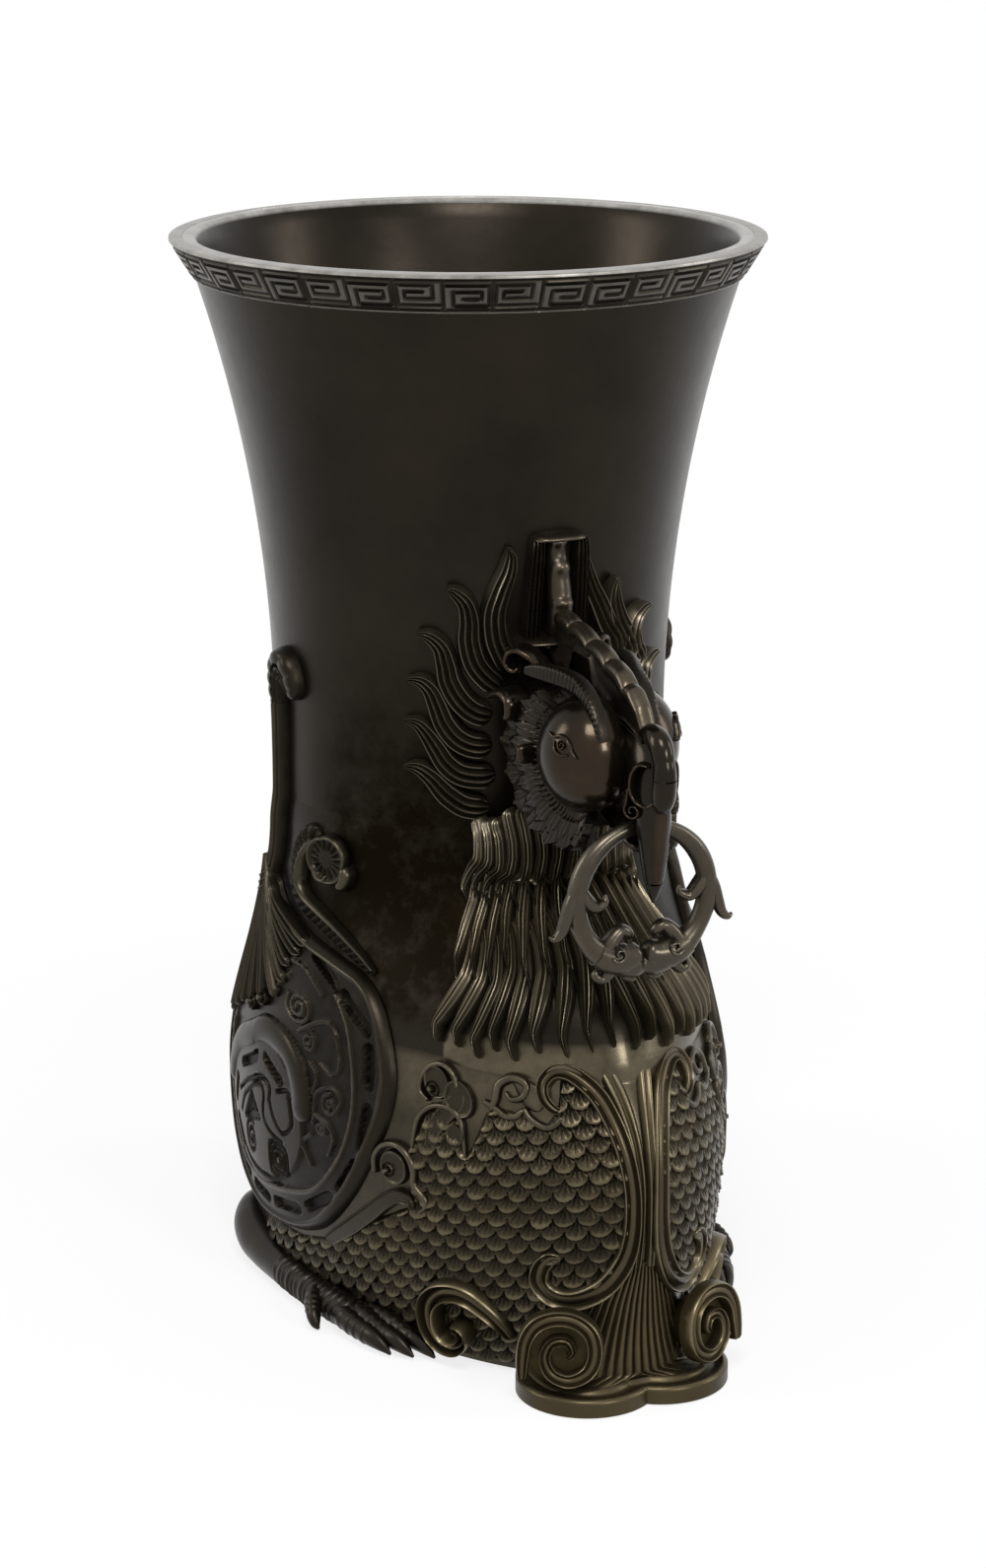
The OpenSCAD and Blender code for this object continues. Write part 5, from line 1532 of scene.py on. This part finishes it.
half_head += [
    cast_grid("collar", 184, 64, collar_shape),
    ribbon("brow", [
        (70, 1.0, 1.4, 0.8), (50, 1.06, 3.0, 1.2), (28, 1.12, 4.2, 1.5), (6, 1.2, 5.2, 1.7),
        (-12, 1.34, 5.8, 1.8), (-28, 1.54, 5.8, 1.8), (-42, 1.82, 5.0, 1.6), (-52, 2.1, 2.8, 1.4),
    ], 190, combed, 22, ruff_face, 3.4),
    ribbon("brow", [
        (30, 76, 2.0, 2.4), (27, 82, 3.8, 3.6), (26, 92, 4.4, 4.2), (27, 102, 4.2, 4.2), (28, 112, 3.8, 4.4),
        (26, 122, 3.4, 4.6), (20, 131, 2.6, 4.6), (12, 138, 1.6, 3.6),
    ], 100, ridged(2, 0.45, 4.0), 26, head_face, 3.0),
    plane_ribbon(
        "horn", (-15.4, -83.4, 235.6), (0.72, -0.69, 0.0), (0.0, 0.0, 1.0),
        [(12.0, -8.2, 2.0, 2.6), (7.0, -3.8, 2.8, 3.4), (2.0, 0.6, 3.2, 3.8), (-2.4, 2.6, 3.0, 3.8),
         (-5.6, 1.4, 2.8, 3.8), (-6.2, -2.2, 2.6, 3.8), (-3.6, -4.2, 2.8, 3.8), (-1.6, -2.6, 2.6, 3.4)],
        90, rounded, 22, 5.0,
    ),
    plane_ribbon(
        "ear", (-22.6, -83.6, 220.6), (0.25, -0.97, 0.0), (0.0, 0.0, 1.0),
        [(-9.0, 1.0, 1.4, 1.6), (-4.4, 3.4, 2.8, 2.6), (0.6, 4.2, 3.8, 3.6), (4.4, 2.0, 4.2, 4.2),
         (4.4, -2.0, 3.6, 4.2), (1.6, -3.2, 2.4, 3.4)],
        80, rounded, 24, 5.0,
    ),
    plane_ribbon(
        "knob", (-22.0, -97.0, 208.0), (0.1, -0.99, 0.0), (0.0, 0.0, 1.0),
        [(-0.6, 3.2, 2.0, 2.0), (0.3, 1.4, 3.2, 3.0), (0.4, -1.4, 3.2, 3.0), (-0.4, -3.0, 2.0, 2.0)],
        40, rounded, 24, 3.0,
    ),
]


def drawn_in(piece, inward=0.0046, backward=0.0066):
    # The far side of the head, which is cast a little flatter than the near side; shifts in metres
    flat = read_points(piece)
    flat[0::3] -= inward
    flat[1::3] += backward
    piece.data.vertices.foreach_set("co", flat)
    piece.data.update()
    return piece


other_half = [drawn_in(mirrored(part, "other_" + part.name)) for part in half_head]


def from_front(turn):
    # Turn away from the front line, either way round
    return np.abs((turn + math.pi) % (2.0 * math.pi) - math.pi)


def beak_wear(v, turn):
    # A worn ridge along the front of the beak
    ridge = bump(from_front(turn), 0.0, 0.5)
    wear_and_shading = np.clip(0.42 + 0.5 * ridge * ease((v - 0.3) / 0.3), 0.0, 1.0)
    return 0.5 * ridge * ease((v - 0.3) / 0.2), wear_and_shading


def lobed(v, turn):
    # Two soft lobes along the run
    bumps = np.abs(np.sin(v * math.pi * 2.0)) ** 0.6
    return 0.7 * bumps - 0.4, 0.3 + 0.4 * bumps


def middle_tube(name, marks, rows, around, relief=None, up=(0.0, 0.0, 1.0)):
    # A tube in the bird's middle plane, along marks of (y, z, half width, half depth)
    return tube(name, [(0.0, *mark) for mark in marks], rows, around, relief, up)


beak_parts = [
    middle_tube("beak", [
        (-112.0, 211.0, 8.0, 13.0), (-124.0, 211.6, 7.4, 13.2), (-133.0, 211.4, 6.6, 12.8),
        (-139.6, 209.4, 6.0, 11.0), (-143.4, 204.0, 5.8, 8.2), (-145.4, 197.4, 5.6, 5.8),
        (-145.8, 190.0, 5.0, 4.6), (-145.9, 182.6, 4.0, 3.8), (-146.1, 176.0, 2.6, 2.8),
        (-145.8, 171.6, 1.1, 1.3), (-145.5, 170.0, 0.3, 0.3),
    ], 110, 44, beak_wear),
    middle_tube("culmen", [
        (-138.0, 222.6, 2.4, 1.6), (-143.0, 223.8, 3.2, 3.0), (-149.0, 222.0, 3.6, 3.8),
        (-152.2, 216.6, 3.6, 3.8), (-152.8, 210.0, 3.5, 3.6), (-151.6, 203.6, 3.2, 3.2),
        (-148.4, 200.4, 1.6, 1.2),
    ], 90, 36, lobed),
    middle_tube("jaw", [
        (-108.0, 199.0, 8.0, 7.0), (-118.0, 195.0, 7.0, 5.2), (-127.0, 190.6, 5.8, 3.6),
        (-133.6, 187.4, 4.8, 2.3), (-138.4, 186.4, 4.0, 2.0), (-141.2, 187.4, 2.6, 1.5),
        (-142.2, 188.6, 0.6, 0.5),
    ], 70, 32),
]
nostril = plane_ribbon(
    "nostril", (-4.6, -147.6, 209.6), (0.64, -0.77, 0.0), (0.0, -0.05, 0.99),
    [(1.6, 5.6, 0.8, 1.0), (-1.6, 5.8, 1.3, 1.5), (-3.8, 2.6, 1.5, 1.7), (-4.0, -2.4, 1.5, 1.7),
     (-2.0, -6.2, 1.5, 1.7), (1.6, -7.4, 1.4, 1.6), (4.2, -5.0, 1.2, 1.4), (4.4, -1.0, 0.9, 1.2)],
    90, rounded, 18, 3.0,
)
spiral_small = plane_ribbon(
    "nostril", (-6.2, -145.0, 200.6), (0.6, -0.8, 0.0), (0.0, 0.0, 1.0),
    [(-2.0, 7.0, 1.2, 1.2)] + spiral(1.4, 140.0, 3.2, 0.5, 1.4, 1.9, 20, 0.3), 80, rounded, 18, 3.0,
)
beak_parts += [nostril, spiral_small]
beak_parts += [mirrored(nostril, "nostril_left"), mirrored(spiral_small, "spiral_left")]
head_core = cast_grid("head", 120, 80, core_shape)
head = joined("head_cast", [head_core] + half_head + other_half + beak_parts)
head_bronze = bronze(
    "head_bronze", (0.0175, 0.014, 0.01), (0.0125, 0.01, 0.0054), (0.056, 0.034, 0.0175), 0.17, 30.0
)
finish_piece(head, head_bronze, stands_for=["head"])

# Crest
# The comb of the phoenix: a knobbed post against the vase between two combed pillars,
# and an upright plate with a rolled, scalloped edge that runs over the head to the beak.
comb_back = 74.0
comb_run = 68.0


def knobs(v, turn):
    # Three knobs on the front of the post
    front = bump(from_front(turn), 0.0, 0.9)
    step = bump(v, 0.9, 0.05) + bump(v, 0.68, 0.06) + 0.8 * bump(v, 0.4, 0.03)
    return 1.7 * front * step, np.clip(0.35 + 0.6 * front * step, 0.0, 1.0)


def comb_edge(y):
    # Height of the comb's scalloped top edge over the distance forward
    line = np.interp(
        y, [74, 88, 100, 112, 124, 132, 138, 142],
        [249.0, 247.6, 245.0, 242.6, 239.0, 235.4, 230.6, 225.0],
    )
    return line + 1.5 * np.abs(np.sin((y - comb_back) / comb_run * math.pi * 5.0)) ** 0.6 - 0.8


def comb_foot(y):
    # Height of the comb's lower edge over the distance forward
    return np.interp(
        y, [74, 80, 88, 92, 104, 108, 116, 124, 135, 142],
        [234.0, 229.0, 229.0, 238.6, 238.6, 228.0, 226.0, 222.0, 218.0, 216.0],
    )


def comb_shape(u, v):
    # The upright plate, round its outline: one side, the rolled top edge, the other side
    y = comb_back + v * comb_run
    top, foot = comb_edge(y), comb_foot(y)
    turn = np.clip((u - 0.3) / 0.4, 0.0, 1.0) * math.pi
    wide = 3.2 - 0.6 * ease((y - 132.0) / 10.0)
    side = np.where(u < 0.3, -1.0, np.where(u > 0.7, 1.0, -np.cos(turn)))
    up = np.where(u < 0.3, u / 0.3, np.where(u > 0.7, (1.0 - u) / 0.3, 1.0))
    waist = 1.0 - 0.3 * ease((up - 0.1) / 0.3) * ease((0.95 - up) / 0.2) * (np.abs(side) > 0.99)
    z = foot + (top - 2.6 - foot) * up + np.where((u >= 0.3) & (u <= 0.7), 2.6 * np.sin(turn), 0.0)
    wear_and_shading = np.where((u >= 0.28) & (u <= 0.72), 0.8, 0.35)
    return np.stack([side * wide * waist, -y, z], 1), wear_and_shading


pillar = ridged(4, 0.4, 5.0)
crest_parts = [
    middle_tube("crest", [
        (-69.5, 236.0, 3.6, 4.0), (-74.6, 246.0, 3.8, 4.4), (-74.4, 254.0, 3.9, 3.8),
        (-72.4, 262.0, 3.9, 3.6), (-71.2, 269.0, 3.9, 3.6), (-71.0, 272.8, 3.5, 2.8),
        (-71.0, 274.0, 0.6, 0.6),
    ], 110, 36, knobs, (0.0, -1.0, 0.0)),
    cast_grid("crest", 60, 150, comb_shape),
    ribbon("crest", [
        (-7.0, 271.6, 1.8, 3.6), (-3.6, 272.4, 2.6, 5.6), (3.6, 272.4, 2.6, 5.6), (7.0, 271.6, 1.8, 3.6),
    ], 44, rounded, 24),
]
for hand in (-1.0, 1.0):
    crest_parts.append(ribbon("crest", [
        (hand * 6.8, 234.0, 4.8, 4.0), (hand * 6.7, 239.0, 5.4, 5.6), (hand * 6.4, 254.0, 5.6, 6.0),
        (hand * 6.0, 267.0, 5.2, 5.6), (hand * 5.8, 273.0, 4.2, 4.4),
    ], 80, pillar, 44))
    crest_parts.append(ribbon("crest", [
        (hand * 14.0, 235.4, 1.6, 3.0), (hand * 10.0, 237.4, 2.6, 7.0), (hand * 5.4, 238.4, 2.8, 10.0),
        (hand * 1.0, 238.8, 2.4, 11.0),
    ], 50, rounded, 20))
crest_bronze = bronze(
    "crest_bronze", (0.038, 0.032, 0.024), (0.026, 0.021, 0.012), (0.15, 0.12, 0.08), 0.27, 30.0
)
crest = joined("crest_cast", crest_parts)
finish_piece(crest, crest_bronze, stands_for=["crest"])

# Mane
# Flame-like locks that spread from behind the head over the vase, each with combed ridges
# and a curled point that stands a little off the wall.
mane_ridges = ridged(4, 0.42, 3.5)
mane_lines = [
    [(-17.4, 181.4), (-23.9, 182.4), (-28.1, 185.5), (-30.4, 188.1), (-33.2, 191.8), (-36.9, 194.8),
     (-41.1, 195.4)],
    [(-15.6, 192.8), (-20.2, 192.3), (-25.3, 193.3), (-29.1, 196.8), (-31.8, 201.9), (-34.2, 206.4),
     (-36.9, 209.9), (-41.1, 211.0)],
    [(-16.5, 202.4), (-22.1, 202.8), (-26.3, 205.4), (-29.5, 210.4), (-31.4, 216.4), (-33.2, 221.5),
     (-36.0, 224.5), (-40.1, 225.0)],
    [(-16.5, 212.4), (-21.6, 214.4), (-25.3, 218.4), (-28.1, 224.5), (-29.1, 230.5), (-30.4, 236.1),
     (-33.2, 239.6), (-36.8, 241.1)],
    [(-14.6, 222.0), (-18.8, 226.5), (-21.6, 231.5), (-23.0, 238.6), (-23.0, 245.6), (-23.9, 251.1),
     (-26.3, 254.7), (-28.7, 256.6)],
    [(-11.8, 227.5), (-14.2, 233.6), (-16.0, 239.6), (-16.5, 247.6), (-15.1, 254.7), (-13.2, 261.7),
     (-12.7, 266.8), (-13.5, 269.7)],
]
left_lines = mane_lines[:2] + [
    [(26, 203.0), (30, 210.0), (32, 217.0), (33, 222.0), (36, 225.0), (40, 226.0)],
    [(24, 219.0), (28.5, 226.0), (27, 230.0), (26, 235.0), (27, 239.5), (29.5, 242.5), (33, 244.0)],
    [(22, 224.0), (25, 230.0), (23, 235.0), (20, 241.0), (18, 247.0), (17.5, 252.0), (18, 256.5)],
    [(20, 228.0), (19, 235.0), (15.5, 241.0), (12.5, 248.0), (9.5, 255.0), (7.5, 262.0), (6.5, 268.0)],
]


def mane_lock(line, hand):
    # One lock along a line of (angle, height) on the vase, narrowing to a point that stands off
    stations = []
    for j, (a, z) in enumerate(line):
        t = j / (len(line) - 1.0)
        wide = 8.6 * (0.95 + 0.1 * math.sin(math.pi * t)) * (1.0 - t**2.2) ** 0.7 + 1.0
        stations.append((hand * abs(a), z, wide, 5.8 * (1.0 - 0.66 * t**2.5), 2.4 * t**3))
    return ribbon("mane", stations, 70, mane_ridges, 40, skin, 1.6)


mane_bronze = bronze(
    "mane_bronze", (0.06, 0.052, 0.038), (0.028, 0.0236, 0.0134), (0.34, 0.29, 0.21), 0.28, 28.0
)
mane_right = joined("mane_right_cast", [mane_lock(line, -1.0) for line in mane_lines])
mane_left = joined("mane_left_cast", [mane_lock(line, 1.0) for line in left_lines])
finish_piece(mane_right, mane_bronze, stands_for=["mane_right"])
finish_piece(mane_left, mane_bronze, stands_for=["mane_left"])

# Tail
# Seven broad feathers down the rump with a shaft and barbs, under a tall plume like those
# of the wings. The photograph doesn't show them.
def cloud_tip(k, turn):
    # A domed tip with ribs that spread from its middle
    ribs = (0.5 + 0.5 * np.cos(turn * 17.0)) * ease((k - 0.3) / 0.2)
    height = 5.0 * np.clip(1.0 - k**5, 0.0, 1.0) ** 0.5 - 0.9 * ribs * ease((0.95 - k) / 0.1)
    return height, np.clip(0.75 - 0.5 * ribs, 0.0, 1.0)


def three_lobes(turn):
    # The lobed edge of the tail plume's tip
    return 1.0 + 0.2 * np.cos(3.0 * (turn - math.pi / 2.0)) + 0.12 * np.sin(turn)


tail_angle = 180.0


def tail_barbs(q, v):
    # A raised shaft with slanting barbs on both sides and a plain edge
    shaft = bump(q, 0.0, 0.12)
    barbs = 0.5 + 0.5 * np.cos(v * 190.0 + np.abs(q) * 7.0)
    body = ease((0.86 - np.abs(q)) / 0.1) * ease((np.abs(q) - 0.14) / 0.06)
    height = domed(q, 6.0) * (0.76 + 0.24 * shaft - 0.2 * barbs * body - 0.1 * np.abs(q))
    return height, np.clip(0.45 + 0.4 * shaft - 0.3 * barbs * body, 0.0, 1.0)


tail_run = (
    (12.0, 98.0, 9.0, 4.0), (12.2, 84.0, 12.5, 4.4), (12.5, 66.0, 13.6, 4.6), (13.0, 40.0, 14.2, 4.6),
    (13.5, 18.0, 14.2, 4.4), (13.5, 8.0, 13.0, 4.0), (13.5, 1.2, 5.0, 2.4),
)
tail_parts = []
for k in range(-3, 4):
    stations = [(tail_angle + 11.0 * k, 108.0 - 3.0 * abs(k), 4.0, 2.2)]
    for spread, height, wide, thick in tail_run:
        stations.append((tail_angle + spread * k, height, wide, thick))
    tail_parts.append(ribbon("tail", stations, 110, tail_barbs, 32))
tail_feathers = joined("tail_feathers_cast", tail_parts)
tail_plume = joined("tail_plume_cast", [
    ribbon("plume", [
        (tail_angle, 110.0, 6.0, 2.6), (tail_angle, 126.0, 10.6, 4.2), (tail_angle, 160.0, 9.0, 4.4),
        (tail_angle, 190.0, 8.6, 4.4), (tail_angle, 206.0, 9.0, 4.6), (tail_angle, 212.0, 8.0, 4.6),
    ], 120, plume_ridges, 40),
    boss("plume", tail_angle, 217.0, 11.5, 40, cloud_tip, 120, skin, 1.2, three_lobes),
    ribbon("plume", [
        (172.5, 118.0, 1.6, 3.0), (176.0, 121.0, 2.4, 5.4), (tail_angle, 121.6, 2.6, 6.0),
        (184.0, 121.0, 2.4, 5.4), (187.5, 118.0, 1.6, 3.0),
    ], 40, rounded, 20),
])
finish_piece(tail_feathers, wing_bronze, stands_for=["tail_feathers"])
finish_piece(tail_plume, wing_bronze, stands_for=["tail_plume"])

# Beak ring
# The loose ring in the beak: two dragons whose tails meet in the beak and whose heads meet below,
# cast in one with their curls, and free to swing on the lower jaw.
ring_r = 22.6
hinge_y = -138.0
ring_z = 192.8 - ring_r


def ring_bar(a):
    # The bar's half thickness: thin in the beak, thick at the dragons' heads
    upper = 2.4 + 0.8 * ease((a - 15.0) / 45.0)
    lower = 3.2 + 1.1 * ease((a - 118.0) / 30.0)
    return np.where(a < 60.0, upper, lower)


def ring_shape(u, v):
    # The round bar of the ring
    a = v * 360.0
    from_top = np.minimum(a, 360.0 - a)
    turn = u * 2.0 * math.pi
    bar = ring_bar(from_top)
    waist = 1.0 - 0.3 * bump(from_top, 180.0, 4.0)
    far = ring_r + bar * waist * np.cos(turn)
    y = hinge_y - bar * waist * np.sin(turn)
    place = np.stack([far * np.sin(np.radians(a)), y, ring_z + far * np.cos(np.radians(a))], 1)
    return place, 0.5 + 0.25 * np.cos(turn)


# Curls of one dragon as (x, z, half width, half depth): two crests, head, horn, beard and chin
ring_curls = (
    (54, 22, (
        (-21.4, 178.0, 1.6, 2.2), (-24.4, 171.0, 2.2, 2.8), (-26.2, 165.4, 2.1, 2.6),
        (-27.8, 161.4, 1.7, 2.2), (-30.0, 159.6, 1.2, 1.6), (-31.6, 160.4, 0.4, 0.5),
    )),
    (44, 22, (
        (-22.0, 176.0, 1.8, 2.6), (-19.6, 171.4, 2.4, 3.0), (-16.4, 168.4, 2.0, 2.6),
        (-13.2, 169.6, 1.4, 1.9), (-12.6, 172.0, 0.4, 0.5),
    )),
    (44, 30, (
        (-15.6, 153.4, 4.2, 4.4), (-10.6, 150.8, 5.2, 5.2), (-5.6, 150.4, 5.0, 5.0), (-1.8, 151.8, 3.6, 4.0),
        (-0.3, 152.4, 1.2, 1.4),
    )),
    (44, 22, (
        (-12.6, 153.0, 3.2, 3.8), (-10.4, 157.0, 2.8, 3.4), (-7.4, 159.6, 2.2, 2.8), (-4.6, 158.2, 1.6, 2.0),
        (-4.4, 156.4, 0.4, 0.5),
    )),
    (36, 20, (
        (-10.4, 147.6, 2.2, 3.0), (-13.6, 144.6, 1.8, 2.6), (-15.8, 146.0, 1.5, 2.0),
        (-15.0, 148.2, 0.4, 0.5),
    )),
    (36, 20, (
        (-5.2, 147.6, 2.0, 2.6), (-5.6, 144.6, 1.6, 2.2), (-3.4, 143.6, 1.3, 1.8), (-2.6, 145.4, 0.4, 0.5),
    )),
)
ring_half = []
for curl_rows, curl_around, curl_marks in ring_curls:
    stations = [(x, hinge_y, z, wide, deep) for x, z, wide, deep in curl_marks]
    ring_half.append(tube("ring", stations, curl_rows, curl_around, None, (0.0, -1.0, 0.0)))
for side_y, side_way in ((hinge_y - 4.6, 1.0), (hinge_y + 4.6, -1.0)):
    ring_half.append(plane_ribbon(
        "ring", (-9.8, side_y, 153.4), (side_way, 0.0, 0.0), (0.0, 0.0, 1.0),
        spiral(1.3, 200.0, 2.7, 0.4, 1.3, 1.3, 16), 50, rounded, 20, 1.5,
    ))
ring_other = [mirrored(part, "other_" + part.name) for part in ring_half]
ring_bronze = bronze(
    "ring_bronze", (0.056, 0.0485, 0.0365), (0.02, 0.0168, 0.01), (0.17, 0.147, 0.108), 0.26, 30.0
)
beak_ring = joined("beak_ring_cast", [cast_grid("ring", 40, 260, ring_shape)] + ring_half + ring_other)
finish_piece(beak_ring, ring_bronze, "ring", stands_for=["beak_ring"])
